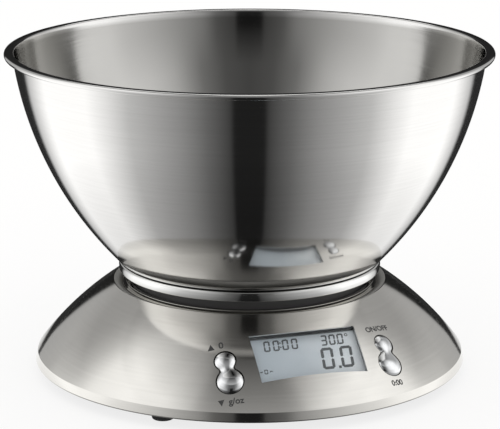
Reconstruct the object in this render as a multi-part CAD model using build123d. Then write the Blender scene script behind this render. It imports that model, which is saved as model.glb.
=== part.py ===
from build123d import *
from math import asin, cos, hypot, pi, radians, sin, sqrt, tan
import os

# Digital kitchen scale with a lift-off bowl, in millimetres.
# The origin is on the bowl's axis at the level of the surface it stands on, +Z is up,
# and the display faces -Y.

os.makedirs("parts", exist_ok=True)

# Driving dimensions: stance and steel cover
ground_gap = 5.0
cover_dia = 193.4
cover_rise = 36.4
cover_skin = 0.8
dome_arc_r = 140.0
collar_dia = 108.0
collar_lip = 4.0
collar_round = 1.0
shoulder_dia = 122.6
shoulder_round = 8.0
shoulder_flat_share = 0.9
band_height = 4.2
band_flare = 1.1
band_round = 1.0

# Driving dimensions: weighing platform
platform_gap = 4.5
platform_height = 5.0
platform_overhang = 4.6
platform_wall = 1.2
platform_edge = 0.8
ring_step = 0.7
ring_width = 3.4
roll_width = 5.0
roll_thick = 0.6
nest_dia = 80.0
nest_height = 1.5
nest_draft = 2.0
nest_clear = 0.4
carrier_thick = 2.4
carrier_clear = 0.25
neck_gap = 0.8
neck_drop = 9.6
neck_wall = 2.0
rib_thick = 2.5
tray_screw_circle = 60.0
tray_boss_dia = 6.0
tray_screw_angles = (45, 165, 285)

# Driving dimensions: bowl
bowl_rim_dia = 215.0
bowl_height = 94.4
bowl_wall = 0.8
bowl_arc_r = 161.3
bowl_flange = 3.75
bowl_flange_thick = 2.4
bowl_lip_round = 0.9
bowl_foot_inset = 0.3
bowl_foot_round = 2.0

# Driving dimensions: load cell
cell_length = 80.0
cell_width = 12.7
cell_height = 12.7
cell_bore_dia = 9.2
cell_bore_pitch = 14.0
cell_slot = 3.0
cell_end_inset = 7.0
cell_hole_pitch = 13.0
cell_clearance = 8.5
cell_boss_margin = 1.6
cell_thread_depth = 8.0
overload_gap = 0.9
gauge_length = 9.0
gauge_width = 6.0
gauge_thick = 0.5

# Driving dimensions: moulded parts
chassis_thick = 2.0
chassis_lift = 0.5
chassis_clear = 0.5
chassis_wall = 2.0
chassis_wall_rise = 1.0
housing_thick = 2.0
housing_bond = 0.1
housing_inner_inset = 3.5
housing_edge_inset = 4.5
screw_circle_inset = 24.3
screw_boss_dia = 7.6
screw_boss_rise = 4.5
screw_angles = (-65, 65, -150, 150)
foot_dia = 11.6
foot_taper = 1.2
foot_circle_inset = 10.3
foot_recess = 0.8
foot_clear = 0.1
foot_round = 0.8
foot_angles = (-45, 45, -135, 135)

# Driving dimensions: display
window_width = 47.4
window_height = 22.8
window_dip = 1.5
display_inset = 18.4
display_recess = 4.8
bezel_wall = 1.5
bezel_ledge = 0.6
bezel_margin = 0.2
bezel_clear = 0.3
lens_thick = 1.2
lcd_thick = 2.6
zebra_thick = 2.2
zebra_width = 2.5
board_thick = 1.2
board_tongue = 4.5
board_inset = 1.0
pocket_clear = 0.1
chip_cap_r = 5.0
chip_cap_height = 1.4
chip_cap_round = 1.1
bead_r = 1.4
bead_stem_r = 0.5
bead_stem_length = 2.0

# Driving dimensions: rocker buttons
rocker_offset = 12.25
rocker_edge_inset = 12.8
rocker_turn = 13.1
upper_lobe_r = 4.6
lower_lobe_r = 5.8
waist_half = 3.4
waist_arc_r = 3.5
rocker_gap = 0.5
rocker_proud = 2.0
rocker_round = 2.8
rocker_depth = 2.4
pin_drop = 0.8
pin_dia = 1.5
pin_play = 0.07
lug_side_gap = 0.9
housing_relief = 0.9
ear_thick = 1.6
ear_width = 4.0
ear_foot_length = 9.2
post_dia = 2.8
post_length = 2.6
switch_gap = 0.6
plunger_height = 0.6
plunger_dia = 2.4
switch_height = 2.2
switch_side = 4.6
switch_board_thick = 1.0

# Driving dimensions: battery box, buzzer and wires
battery_dia = 10.5
battery_length = 44.5
battery_gap = 0.8
battery_place_y = 38.0
battery_clear = 0.3
battery_nub_r = 1.9
battery_nub_length = 0.9
contact_room = 2.6
contact_thick = 0.5
contact_side_gap = 0.6
contact_bow_height = 6.4
contact_leaf_width = 4.6
box_wall = 2.6
box_roof = 1.6
door_margin = 1.0
door_clear = 0.3
door_barrel_r = 1.6
door_pin_r = 0.9
door_pin_play = 0.07
door_pin_length = 1.3
door_tongue = 2.4
door_tongue_width = 10.5
door_tongue_thick = 0.9
buzzer_dia = 20.0
buzzer_thick = 0.3
buzzer_ceramic_dia = 14.0
buzzer_ceramic_thick = 0.25
buzzer_ring_height = 3.0
buzzer_ring_wall = 1.6
buzzer_place = (52.0, 24.0)
cable_dia = 2.0
lead_dia = 1.6
lead_hole_play = 0.6

# Screws: shank radius, head radius, head height
cell_screw = (2.0, 3.5, 2.6)
cover_screw = (1.25, 2.9, 2.0)
tray_screw = (0.9, 2.2, 1.5)
board_screw = (0.7, 1.4, 0.8)
head_play = 0.3
shank_play = 0.2
cover_screw_length = 14.0
counterbore_rest = 1.0
board_screw_short = 0.2

# Levels, from the surface upwards
cover_bottom = ground_gap
collar_z = cover_bottom + cover_rise
floor_bottom = cover_bottom + chassis_lift
floor_top = floor_bottom + chassis_thick
platform_bottom = collar_z + platform_gap
platform_top = platform_bottom + platform_height
bowl_top = platform_top + bowl_height
carrier_top = platform_top - platform_wall
carrier_bottom = carrier_top - carrier_thick
neck_bottom = carrier_bottom - neck_drop
cell_bottom = floor_top + cell_clearance
cell_top = cell_bottom + cell_height
platform_screw_seat = cell_top + (carrier_bottom - cell_top) / 3
cover_screw_seat = floor_top + counterbore_rest
cell_screw_seat = floor_bottom + cell_screw[2] + counterbore_rest
screw_boss_top = floor_top + screw_boss_rise

# Radii
cover_r = cover_dia / 2
collar_r = collar_dia / 2
shoulder_r = shoulder_dia / 2
edge_r = cover_r - band_flare
edge_z = cover_bottom + band_height
platform_r = collar_r + platform_overhang
neck_r = collar_r - cover_skin - neck_gap
chassis_r = edge_r - cover_skin - chassis_clear


def arc_centre(inner, outer, radius, side):
    """Centre of an arc of this radius through two points, on the left (+1) or right (-1) of the way."""
    along = (outer[0] - inner[0], outer[1] - inner[1])
    chord = hypot(*along)
    reach = sqrt(radius**2 - chord**2 / 4)
    middle = ((inner[0] + outer[0]) / 2, (inner[1] + outer[1]) / 2)
    return (
        middle[0] - side * along[1] / chord * reach,
        middle[1] + side * along[0] / chord * reach,
    )


dome_centre = arc_centre((shoulder_r, collar_z), (edge_r, edge_z), dome_arc_r, -1)


def dome_z(radius, inset=0.0):
    """Height of the dome, or of a surface inset below it, at this distance from the axis."""
    return dome_centre[1] + sqrt((dome_arc_r - inset) ** 2 - (radius - dome_centre[0]) ** 2)


def dome_arc(start_r, end_r, inset):
    """Arc of the dome's section between two radii, as (r, z)."""
    middle_r = (start_r + end_r) / 2
    points = [(r, dome_z(r, inset)) for r in (start_r, middle_r, end_r)]
    return ThreePointArc(*points)


def turned(*edges, rounds=()):
    """Solid of revolution about the Z axis from a closed (r, z) outline, with corners rounded."""
    outline = make_face(edges)
    for corner, radius in rounds:
        vertex = outline.vertices().sort_by_distance((*corner, 0))[0]
        outline = fillet(vertex, radius)
    return revolve(Plane.XZ * outline, Axis.Z)


def under_dome(inset, outer_r):
    """Solid that fills the space under the dome, inset from its outer face."""
    top = dome_z(shoulder_r, inset)
    return turned(
        Polyline((shoulder_r, top), (0, top), (0, 0), (outer_r, 0), (outer_r, dome_z(outer_r, inset))),
        dome_arc(outer_r, shoulder_r, inset),
    )


def dome_plane(x, y, turn=0.0):
    """Plane that touches the dome over a place in plan, with its Y axis along +Y, turned to the left."""
    radius = hypot(x, y)
    slope = asin((radius - dome_centre[0]) / dome_arc_r)
    normal = Vector(sin(slope) * x / radius, sin(slope) * y / radius, cos(slope))
    uphill = Vector(-sin(radians(turn)), cos(radians(turn)), 0)
    uphill -= normal * normal.dot(uphill)
    return Plane(Vector(x, y, dome_z(radius)), x_dir=uphill.cross(normal), z_dir=normal)


def block(x_range, y_range, z_range):
    """Box between two limits on each axis."""
    sizes = [high - low for low, high in (x_range, y_range, z_range)]
    middle = [(high + low) / 2 for low, high in (x_range, y_range, z_range)]
    return Pos(*middle) * Box(*sizes)


def rod(radius, low, high, x=0.0, y=0.0):
    """Upright cylinder between two levels."""
    return Pos(x, y, (low + high) / 2) * Cylinder(radius, high - low)


def rod_x(radius, low, high, y=0.0, z=0.0):
    """Cylinder along X between two limits."""
    return Pos((low + high) / 2, y, z) * Rot(0, 90, 0) * Cylinder(radius, high - low)


def screw_up(size, seat, length, x=0.0, y=0.0):
    """Pan-head screw that points up, with its head under the seat level."""
    shank, head, head_height = size
    return rod(head, seat - head_height, seat, x, y) + rod(shank, seat, seat + length, x, y)


def screw_down(size, seat, length, x=0.0, y=0.0):
    """Pan-head screw that points down, with its head on the seat level."""
    shank, head, head_height = size
    return rod(head, seat, seat + head_height, x, y) + rod(shank, seat - length, seat, x, y)


def around(radius, angles):
    """Places on a circle about the axis, with angles in degrees from the front, to the right."""
    return [(radius * sin(radians(a)), -radius * cos(radians(a))) for a in angles]


def wire(diameter, points):
    """Round lead along straight runs joined by the largest arcs that the runs allow."""
    places = [Vector(*p) for p in points]
    runs = [b - a for a, b in zip(places, places[1:])]
    radii = []
    for before, after in zip(runs, runs[1:]):
        half_turn = radians(before.get_angle(after)) / 2
        radii.append(0.45 * min(before.length, after.length) / (sin(half_turn) / cos(half_turn)))
    path = FilletPolyline(*places, radius=radii)
    section = Plane(places[0], z_dir=runs[0]) * Circle(diameter / 2)
    lead = sweep(section, path)
    print("lead", round(path.length, 1), "mm, least bend", round(min(radii), 1), "volume share",
          round(lead.volume / (path.length * pi * diameter**2 / 4), 4))
    return lead


display_plane = dome_plane(0, -(edge_r - display_inset))
rocker_r = edge_r - rocker_edge_inset
rocker_x = window_width / 2 + rocker_offset
rocker_plane = dome_plane(rocker_x, -sqrt(rocker_r**2 - rocker_x**2), rocker_turn)

# Depths behind the display's window, along the display plane's normal
lens_top = -display_recess
lcd_top = lens_top - lens_thick
lcd_bottom = lcd_top - lcd_thick
board_top = lcd_bottom - zebra_thick
board_bottom = board_top - board_thick
pocket_x = window_width / 2 + bezel_margin + bezel_ledge
pocket_y = window_height / 2 + bezel_margin + bezel_ledge
bezel_x = pocket_x + bezel_wall
bezel_y = pocket_y + bezel_wall
board_corner = board_tongue - board_inset
board_screw_places = [
    (side * (pocket_x - board_corner / 2), y)
    for side in (-1, 1)
    for y in (-pocket_y + board_corner / 2, bezel_y + board_tongue / 2)
]

# Depths under a rocker, along its plane's normal
pin_depth = rocker_depth + pin_drop
post_depth = rocker_depth + post_length
switch_top = -post_depth - switch_gap - plunger_height
switch_bottom = switch_top - switch_height
switch_board_bottom = switch_bottom - switch_board_thick
waist_centre = waist_half + waist_arc_r
upper_lobe_y = sqrt((upper_lobe_r + waist_arc_r) ** 2 - waist_centre**2)
lower_lobe_y = -sqrt((lower_lobe_r + waist_arc_r) ** 2 - waist_centre**2)
ear_inner = waist_half + rocker_gap + housing_relief
ear_outer = ear_inner + ear_thick
ear_middle = (ear_inner + ear_outer) / 2
switch_screw_y = (-ear_foot_length / 3, ear_foot_length / 3)

# Battery box
battery_pitch = battery_dia + battery_gap
battery_z = floor_top + battery_clear + battery_dia / 2
box_x = battery_length / 2 + contact_room
box_y = battery_pitch / 2 + battery_dia / 2 + battery_clear
box_top = battery_z + battery_dia / 2 + battery_clear
door_x = box_x + door_margin
door_front = battery_place_y - box_y - door_margin
hinge_y = battery_place_y + box_y + door_margin
hinge_z = floor_bottom + door_barrel_r
lead_start = (-box_x, battery_place_y - battery_pitch / 2, battery_z)

# Places of the fasteners and feet
screw_places = around(chassis_r - screw_circle_inset, screw_angles)
foot_places = around(chassis_r - foot_circle_inset, foot_angles)
tray_screw_places = around(tray_screw_circle / 2, tray_screw_angles)
cell_hole_x = [cell_length / 2 - cell_end_inset, cell_length / 2 - cell_end_inset - cell_hole_pitch]


def make_bowl():
    """Spun steel bowl with a hemmed rim and a raised panel in its bottom."""
    rim_r = bowl_rim_dia / 2
    wall_top = (rim_r - bowl_flange, bowl_top - bowl_flange_thick)
    foot = (platform_r - bowl_foot_inset, platform_top)
    centre = arc_centre(foot, wall_top, bowl_arc_r, 1)

    def wall_r(z, inset):
        return centre[0] + sqrt((bowl_arc_r - inset) ** 2 - (z - centre[1]) ** 2)

    def wall_arc(low, high, inset):
        return ThreePointArc(*[(wall_r(z, inset), z) for z in (low, (low + high) / 2, high)])

    hem = bowl_flange_thick / 2
    inner_foot = platform_top + bowl_wall
    panel_r = nest_dia / 2 + nest_clear
    panel_z = platform_top + nest_height + nest_clear
    lip = (wall_r(bowl_top, bowl_wall), bowl_top)
    return turned(
        Polyline((0, panel_z), (panel_r, panel_z), (panel_r + nest_draft, platform_top), foot),
        wall_arc(platform_top, wall_top[1], 0),
        Line(wall_top, (rim_r - hem, wall_top[1])),
        ThreePointArc((rim_r - hem, wall_top[1]), (rim_r, bowl_top - hem), (rim_r - hem, bowl_top)),
        Line((rim_r - hem, bowl_top), lip),
        wall_arc(bowl_top, inner_foot, bowl_wall),
        Polyline(
            (wall_r(inner_foot, bowl_wall), inner_foot),
            (panel_r + nest_draft - bowl_wall / 2, inner_foot),
            (panel_r - bowl_wall / 2, panel_z + bowl_wall),
            (0, panel_z + bowl_wall),
            (0, panel_z),
        ),
        rounds=[(foot, bowl_foot_round), (lip, bowl_lip_round)],
    )


def make_platform_tray():
    """Round tray that the bowl nests on, with a stepped ring, a rolled edge and bosses for its screws."""
    nest_r = nest_dia / 2
    nest_z = platform_top + nest_height
    step_r = platform_r - ring_width
    rim = (platform_r, platform_top - ring_step)
    roll_top = platform_bottom + roll_thick
    tray = turned(
        Polyline((0, nest_z), (nest_r, nest_z), (nest_r + nest_draft, platform_top), (step_r, platform_top)),
        Polyline((step_r, platform_top), (step_r, rim[1]), rim),
        Polyline(
            rim,
            (platform_r, platform_bottom),
            (platform_r - roll_width, platform_bottom),
            (platform_r - roll_width, roll_top),
            (platform_r - platform_wall, roll_top),
            (platform_r - platform_wall, carrier_top),
            (nest_r + nest_draft - platform_wall / 2, carrier_top),
            (nest_r - platform_wall / 2, nest_z - platform_wall),
            (0, nest_z - platform_wall),
            (0, nest_z),
        ),
        rounds=[(rim, platform_edge), ((platform_r, platform_bottom), platform_edge / 2)],
    )
    for x, y in tray_screw_places:
        tray += rod(tray_boss_dia / 2, carrier_top, nest_z - platform_wall / 2, x, y)
    for x, y in tray_screw_places:
        tray -= rod(tray_screw[0], carrier_top, nest_z - platform_wall / 2, x, y)
    return tray


def make_platform_carrier():
    """Moulded spider that carries the tray on the load cell's free end."""
    boss_x = (cell_hole_x[1] - cell_end_inset + cell_boss_margin, cell_length / 2)
    boss_y = cell_width / 2 + cell_boss_margin
    carrier = rod(platform_r - platform_wall - carrier_clear, carrier_bottom, carrier_top)
    carrier += rod(neck_r, neck_bottom, carrier_bottom)
    carrier -= rod(neck_r - neck_wall, neck_bottom, carrier_bottom)
    reach = neck_r - neck_wall / 2
    carrier += block((-reach, reach), (-rib_thick / 2, rib_thick / 2), (neck_bottom, carrier_bottom))
    carrier += block((-rib_thick / 2, rib_thick / 2), (-reach, reach), (neck_bottom, carrier_bottom))
    carrier += block(boss_x, (-boss_y, boss_y), (cell_top, carrier_bottom))
    for x in cell_hole_x:
        carrier -= rod(cell_screw[0] + shank_play, cell_top, carrier_top, x)
        carrier -= rod(cell_screw[1] + head_play, platform_screw_seat, carrier_top, x)
    for x, y in tray_screw_places:
        carrier -= rod(tray_screw[0] + shank_play, carrier_bottom, carrier_top, x, y)
    return carrier


def make_load_cell():
    """Aluminium bending beam with its pair of bores and tapped ends."""
    half = cell_length / 2
    beam = block((-half, half), (-cell_width / 2, cell_width / 2), (cell_bottom, cell_top))
    middle = (cell_bottom + cell_top) / 2
    for x in (-cell_bore_pitch / 2, cell_bore_pitch / 2):
        beam -= Pos(x, 0, middle) * Rot(90, 0, 0) * Cylinder(cell_bore_dia / 2, cell_width)
    slot_z = (middle - cell_slot / 2, middle + cell_slot / 2)
    beam -= block((-cell_bore_pitch / 2, cell_bore_pitch / 2), (-cell_width / 2, cell_width / 2), slot_z)
    for x in cell_hole_x:
        beam -= rod(cell_screw[0], cell_bottom, cell_top, x)
        beam -= rod(cell_screw[0], cell_bottom, cell_top, -x)
    return beam


def make_strain_gauges():
    """Gauge pads bonded over and under the thin parts of the beam."""
    x_range = (-gauge_length / 2, gauge_length / 2)
    y_range = (-gauge_width / 2, gauge_width / 2)
    upper = block(x_range, y_range, (cell_top, cell_top + gauge_thick))
    lower = block(x_range, y_range, (cell_bottom - gauge_thick, cell_bottom))
    return Compound([upper, lower])


def make_base_cover():
    """Drawn steel dome with a flat shoulder, a collar, a rim band, a window and two button holes."""
    lip_r = collar_r - cover_skin
    lip_bottom = collar_z - collar_lip
    under_z = collar_z - cover_skin
    band_inner = (cover_r - cover_skin, cover_bottom)
    inner_edge_r = edge_r - cover_skin
    inner_edge = (inner_edge_r, dome_z(inner_edge_r, cover_skin))
    inner_collar = (collar_r, under_z)
    inner_arc_r = dome_arc_r - cover_skin
    inner_shoulder_r = dome_centre[0] + sqrt(inner_arc_r**2 - (under_z - dome_centre[1]) ** 2)
    inner_shoulder = (inner_shoulder_r, under_z)
    # the shoulder's rounds are limited by the flat beside them
    flat = shoulder_r - lip_r - collar_round
    inner_flat = inner_shoulder_r - collar_r - (collar_round - cover_skin)
    half_turn = asin((shoulder_r - dome_centre[0]) / dome_arc_r) / 2
    per_flat = shoulder_flat_share / tan(half_turn)
    cover = turned(
        Polyline((lip_r, lip_bottom), (lip_r, collar_z), (shoulder_r, collar_z)),
        dome_arc(shoulder_r, edge_r, 0),
        Polyline((edge_r, edge_z), (cover_r, cover_bottom), band_inner, inner_edge),
        dome_arc(inner_edge_r, inner_shoulder_r, cover_skin),
        Polyline(inner_shoulder, inner_collar, (collar_r, lip_bottom), (lip_r, lip_bottom)),
        rounds=[
            (inner_collar, collar_round - cover_skin),
            ((lip_r, collar_z), collar_round),
            (inner_shoulder, min(shoulder_round - cover_skin, inner_flat * per_flat)),
            ((shoulder_r, collar_z), min(shoulder_round, flat * per_flat)),
            ((edge_r, edge_z), band_round),
        ],
    )
    reach = bezel_x
    half_x, half_y = window_width / 2, window_height / 2
    window = make_face([
        ThreePointArc((-half_x, half_y), (0, half_y - window_dip), (half_x, half_y)),
        Polyline((half_x, half_y), (half_x, -half_y), (-half_x, -half_y), (-half_x, half_y)),
    ])
    cover -= display_plane * Pos(0, 0, -reach / 2) * extrude(window, reach, dir=(0, 0, 1))
    hole = rocker_plane * rocker_outline(rocker_gap, -rocker_depth * 2, rocker_depth * 2)
    return cover - hole - mirror(hole, Plane.YZ)


def rocker_outline(grow, low, high):
    """Two unequal lobes joined at a waist, grown all round, between two depths."""
    upper_r, lower_r = upper_lobe_r + grow, lower_lobe_r + grow
    arc_r = waist_arc_r - grow
    upper_x = waist_centre * upper_r / (upper_r + arc_r)
    upper_y = upper_lobe_y * arc_r / (upper_r + arc_r)
    lower_x = waist_centre * lower_r / (lower_r + arc_r)
    lower_y = lower_lobe_y * arc_r / (lower_r + arc_r)
    waist = waist_centre - arc_r
    outline = make_face([
        ThreePointArc((upper_x, upper_y), (0, upper_lobe_y + upper_r), (-upper_x, upper_y)),
        ThreePointArc((-upper_x, upper_y), (-waist, 0), (-lower_x, lower_y)),
        ThreePointArc((-lower_x, lower_y), (0, lower_lobe_y - lower_r), (lower_x, lower_y)),
        ThreePointArc((lower_x, lower_y), (waist, 0), (upper_x, upper_y)),
    ])
    return Pos(0, 0, low) * extrude(outline, high - low, dir=(0, 0, 1))


def make_upper_housing():
    """Moulded shell under the steel, with screw bosses and the rockers' ears."""
    outer_inset = cover_skin + housing_bond
    inner_inset = outer_inset + housing_thick
    inner_r = shoulder_r + housing_inner_inset
    outer_r = edge_r - housing_edge_inset
    shell = turned(
        dome_arc(inner_r, outer_r, outer_inset),
        Line((outer_r, dome_z(outer_r, outer_inset)), (outer_r, dome_z(outer_r, inner_inset))),
        dome_arc(outer_r, inner_r, inner_inset),
        Line((inner_r, dome_z(inner_r, inner_inset)), (inner_r, dome_z(inner_r, outer_inset))),
    )
    hole_grow = rocker_gap + housing_relief
    hole = rocker_plane * rocker_outline(hole_grow, -rocker_depth * 3, rocker_depth * 2)
    shell = shell - hole - mirror(hole, Plane.YZ)
    cut_x, cut_y = bezel_x + bezel_clear, bezel_y + bezel_clear
    shell -= display_plane * block((-cut_x, cut_x), (-cut_y, cut_y), (board_bottom, bezel_x / 2))
    inside = under_dome(outer_inset, outer_r)
    added = Part()
    for x, y in screw_places:
        added += rod(screw_boss_dia / 2, screw_boss_top, collar_z, x, y)
    ear_y, foot_y = ear_width / 2, ear_foot_length / 2
    ears = block((ear_inner, ear_outer), (-ear_y, ear_y), (switch_bottom, 0))
    ears += block((ear_inner, ear_outer), (-foot_y, foot_y), (switch_bottom, -post_depth))
    ears += block((-ear_outer, -ear_inner), (-ear_y, ear_y), (-pin_depth - pin_dia, 0))
    ears = rocker_plane * ears
    added = added + ears + mirror(ears, Plane.YZ)
    shell += added & inside
    bores = rod_x(pin_dia / 2, -ear_outer, ear_outer, z=-pin_depth)
    for y in switch_screw_y:
        bores += rod(board_screw[0], switch_bottom, -post_depth, ear_middle, y)
    bores = rocker_plane * bores
    shell = shell - bores - mirror(bores, Plane.YZ)
    for x, y in screw_places:
        shell -= rod(cover_screw[0], screw_boss_top, cover_screw_seat + cover_screw_length, x, y)
    return shell


def make_chassis():
    """Moulded bottom plate with the battery box, the load cell's pedestal and the screw pillars."""
    chassis = rod(chassis_r, floor_bottom, floor_top + chassis_wall_rise)
    chassis -= rod(chassis_r - chassis_wall, floor_top, floor_top + chassis_wall_rise)
    for x, y in screw_places:
        chassis += rod(screw_boss_dia / 2, floor_top, screw_boss_top, x, y)
    pedestal_x = (-cell_length / 2, -cell_hole_x[1] + cell_end_inset - cell_boss_margin)
    pedestal_y = cell_width / 2 + cell_boss_margin
    chassis += block(pedestal_x, (-pedestal_y, pedestal_y), (floor_top, cell_bottom))
    chassis += rod(cell_end_inset - cell_boss_margin, floor_top, cell_bottom - overload_gap, cell_hole_x[0])
    ring_top = floor_top + buzzer_ring_height
    chassis += rod(buzzer_dia / 2, floor_top, ring_top, *buzzer_place)
    chassis -= rod(buzzer_dia / 2 - buzzer_ring_wall, floor_top, ring_top, *buzzer_place)
    outer_x, outer_y = box_x + box_wall, box_y + box_wall
    y_range = (battery_place_y - outer_y, battery_place_y + outer_y)
    chassis += block((-outer_x, outer_x), y_range, (floor_top, box_top + box_roof))
    y_range = (battery_place_y - box_y, battery_place_y + box_y)
    chassis -= block((-box_x, box_x), y_range, (floor_bottom, box_top))
    cut_x = door_x + door_clear
    y_range = (door_front - door_clear, hinge_y)
    chassis -= block((-cut_x, cut_x), y_range, (floor_bottom, floor_top))
    barrel_half = door_barrel_r + door_clear
    y_range = (hinge_y - barrel_half, hinge_y + barrel_half)
    chassis -= block((-cut_x, cut_x), y_range, (floor_bottom, hinge_z + barrel_half))
    pin_reach = door_x + door_pin_length + door_clear
    chassis -= rod_x(door_pin_r + door_pin_play, -pin_reach, pin_reach, hinge_y, hinge_z)
    hole_r = lead_dia / 2 + lead_hole_play
    chassis -= rod_x(hole_r, -outer_x, -box_x, lead_start[1], lead_start[2])
    for x in cell_hole_x:
        chassis -= rod(cell_screw[0] + shank_play, floor_bottom, cell_bottom, -x)
        chassis -= rod(cell_screw[1] + head_play, floor_bottom, cell_screw_seat, -x)
    for x, y in screw_places:
        chassis -= rod(cover_screw[0] + shank_play, floor_bottom, screw_boss_top, x, y)
        chassis -= rod(cover_screw[1] + head_play, floor_bottom, cover_screw_seat, x, y)
    for x, y in foot_places:
        chassis -= rod(foot_dia / 2 + foot_clear, floor_bottom, floor_bottom + foot_recess, x, y)
    return chassis


def make_feet():
    """Four tapered rubber feet, seated in recesses of the chassis."""
    foot_top = floor_bottom + foot_recess
    top_r = foot_dia / 2
    low_r = top_r - foot_taper
    seat_z = floor_bottom
    foot = turned(
        Polyline((0, 0), (low_r, 0), (top_r, seat_z), (top_r, foot_top), (0, foot_top), (0, 0)),
        rounds=[((low_r, 0), foot_round)],
    )
    return Compound([Pos(x, y, 0) * foot for x, y in foot_places])


def make_display_bezel():
    """Black frame behind the window, with a pocket for the lens and the display glass."""
    open_x, open_y = window_width / 2 + bezel_margin, window_height / 2 + bezel_margin
    frame = block((-bezel_x, bezel_x), (-bezel_y, bezel_y), (board_top, bezel_x))
    frame -= block((-open_x, open_x), (-open_y, open_y), (board_top, bezel_x))
    frame -= block((-pocket_x, pocket_x), (-pocket_y, pocket_y), (board_top, lens_top))
    for side in (-1, 1):
        x_range = sorted((side * (pocket_x - board_corner), side * pocket_x))
        y_range = (-pocket_y, -pocket_y + board_corner)
        frame += block(x_range, y_range, (board_top, lcd_bottom - pocket_clear))
    tongue_y = (bezel_y, bezel_y + board_tongue)
    frame += block((-bezel_x, bezel_x), tongue_y, (board_top, lcd_bottom))
    for x, y in board_screw_places:
        frame -= rod(board_screw[0], board_top, lcd_bottom - pocket_clear, x, y)
    return (display_plane * frame) & under_dome(cover_skin + housing_bond, edge_r - housing_edge_inset)


def display_plate(top, bottom):
    """Flat plate that fills the bezel's pocket between two depths."""
    half_x, half_y = pocket_x - pocket_clear, pocket_y - pocket_clear
    return display_plane * block((-half_x, half_x), (-half_y, half_y), (bottom, top))


def make_zebra_strip():
    """Rubber contact strip between the display glass and the board."""
    half_x = pocket_x - board_tongue
    y_high = pocket_y - pocket_clear
    return display_plane * block((-half_x, half_x), (y_high - zebra_width, y_high), (board_top, lcd_bottom))


def make_main_board():
    """Circuit board screwed to the back of the bezel."""
    half_x = bezel_x - board_inset
    y_range = (-bezel_y, bezel_y + board_tongue)
    board = block((-half_x, half_x), y_range, (board_bottom, board_top))
    for x, y in board_screw_places:
        board -= rod(board_screw[0] + shank_play, board_bottom, board_top, x, y)
    return display_plane * board


def make_board_screws():
    """Four small screws through the main board."""
    length = board_thick + zebra_thick - pocket_clear - board_screw_short
    screws = [screw_up(board_screw, board_bottom, length, x, y) for x, y in board_screw_places]
    return Compound([display_plane * screw for screw in screws])


def make_controller_chip():
    """Chip under its round cap of epoxy, on the back of the board."""
    chip = rod(chip_cap_r, board_bottom - chip_cap_height, board_bottom)
    chip = fillet(chip.edges().sort_by(Axis.Z)[0], min(chip_cap_round, chip_cap_height * 0.9))
    return display_plane * chip


def make_thermistor():
    """Bead that reads the room's temperature, standing on the board."""
    x, y = -bezel_x / 2, bezel_y / 2
    stem = rod(bead_stem_r, board_bottom - bead_stem_length, board_bottom, x, y)
    bead = Pos(x, y, board_bottom - bead_stem_length) * Sphere(bead_r)
    return display_plane * (stem + bead)


def make_rocker():
    """Chromed button with two lobes, a pivot lug and a post over each switch."""
    body = rocker_outline(0, -rocker_depth, rocker_proud)
    body = fillet(body.faces().sort_by(Axis.Z)[-1].edges(), min(rocker_round, waist_half * 0.85))
    lug_x = waist_half - lug_side_gap
    body += block((-lug_x, lug_x), (-pin_dia, pin_dia), (-pin_depth - pin_dia, -rocker_depth))
    for y in (upper_lobe_y, lower_lobe_y):
        body += rod(post_dia / 2, -post_depth, -rocker_depth, 0, y)
    body -= rod_x(pin_dia / 2 + pin_play, -waist_half, waist_half, z=-pin_depth)
    return rocker_plane * body


def make_rocker_pin():
    """Steel pin that the rocker tips on, held in the housing's ears."""
    return rocker_plane * rod_x(pin_dia / 2, -ear_outer, ear_outer, z=-pin_depth)


def make_switch_board():
    """Small circuit board under a rocker, screwed to the outer ear's foot."""
    x_range = (-switch_side + rocker_gap, ear_outer)
    y_range = (lower_lobe_y - switch_side, upper_lobe_y + switch_side)
    board = block(x_range, y_range, (switch_board_bottom, switch_bottom))
    for y in switch_screw_y:
        board -= rod(board_screw[0] + shank_play, switch_board_bottom, switch_bottom, ear_middle, y)
    return rocker_plane * board


def make_tact_switches():
    """A push switch under each lobe of a rocker."""
    half = switch_side / 2
    switches = []
    for y in (upper_lobe_y, lower_lobe_y):
        case = block((-half, half), (y - half, y + half), (switch_bottom, switch_top))
        case += rod(plunger_dia / 2, switch_top, switch_top + plunger_height, 0, y)
        switches.append(rocker_plane * case)
    return Compound(switches)


def make_switch_screws():
    """Two small screws that hold a switch board."""
    length = switch_board_thick + (-post_depth - switch_bottom) / 2
    screws = [screw_up(board_screw, switch_board_bottom, length, ear_middle, y) for y in switch_screw_y]
    return Compound([rocker_plane * screw for screw in screws])


def make_battery_door():
    """Door in the underside, on two pins at its rear edge, with a finger tongue in front."""
    door = block((-door_x, door_x), (door_front, hinge_y), (floor_bottom, floor_top - pocket_clear))
    door += rod_x(door_barrel_r, -door_x, door_x, hinge_y, hinge_z)
    pin_reach = door_x + door_pin_length
    door += rod_x(door_pin_r, -pin_reach, pin_reach, hinge_y, hinge_z)
    tongue_x = door_tongue_width / 2
    tongue_front = door_front + door_margin + door_clear
    tongue_y = (tongue_front, tongue_front + door_tongue_thick)
    door += block((-tongue_x, tongue_x), tongue_y, (floor_bottom, floor_top + door_tongue))
    return door


def make_batteries():
    """Two AAA cells, laid in opposite directions."""
    cells = []
    for side in (-1, 1):
        y = battery_place_y + side * battery_pitch / 2
        half = battery_length / 2
        can = rod_x(battery_dia / 2, -half + battery_nub_length, half, y, battery_z)
        can += rod_x(battery_nub_r, -half, half, y, battery_z)
        cells.append(can if side < 0 else mirror(can, Plane.YZ))
    return Compound(cells)


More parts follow.
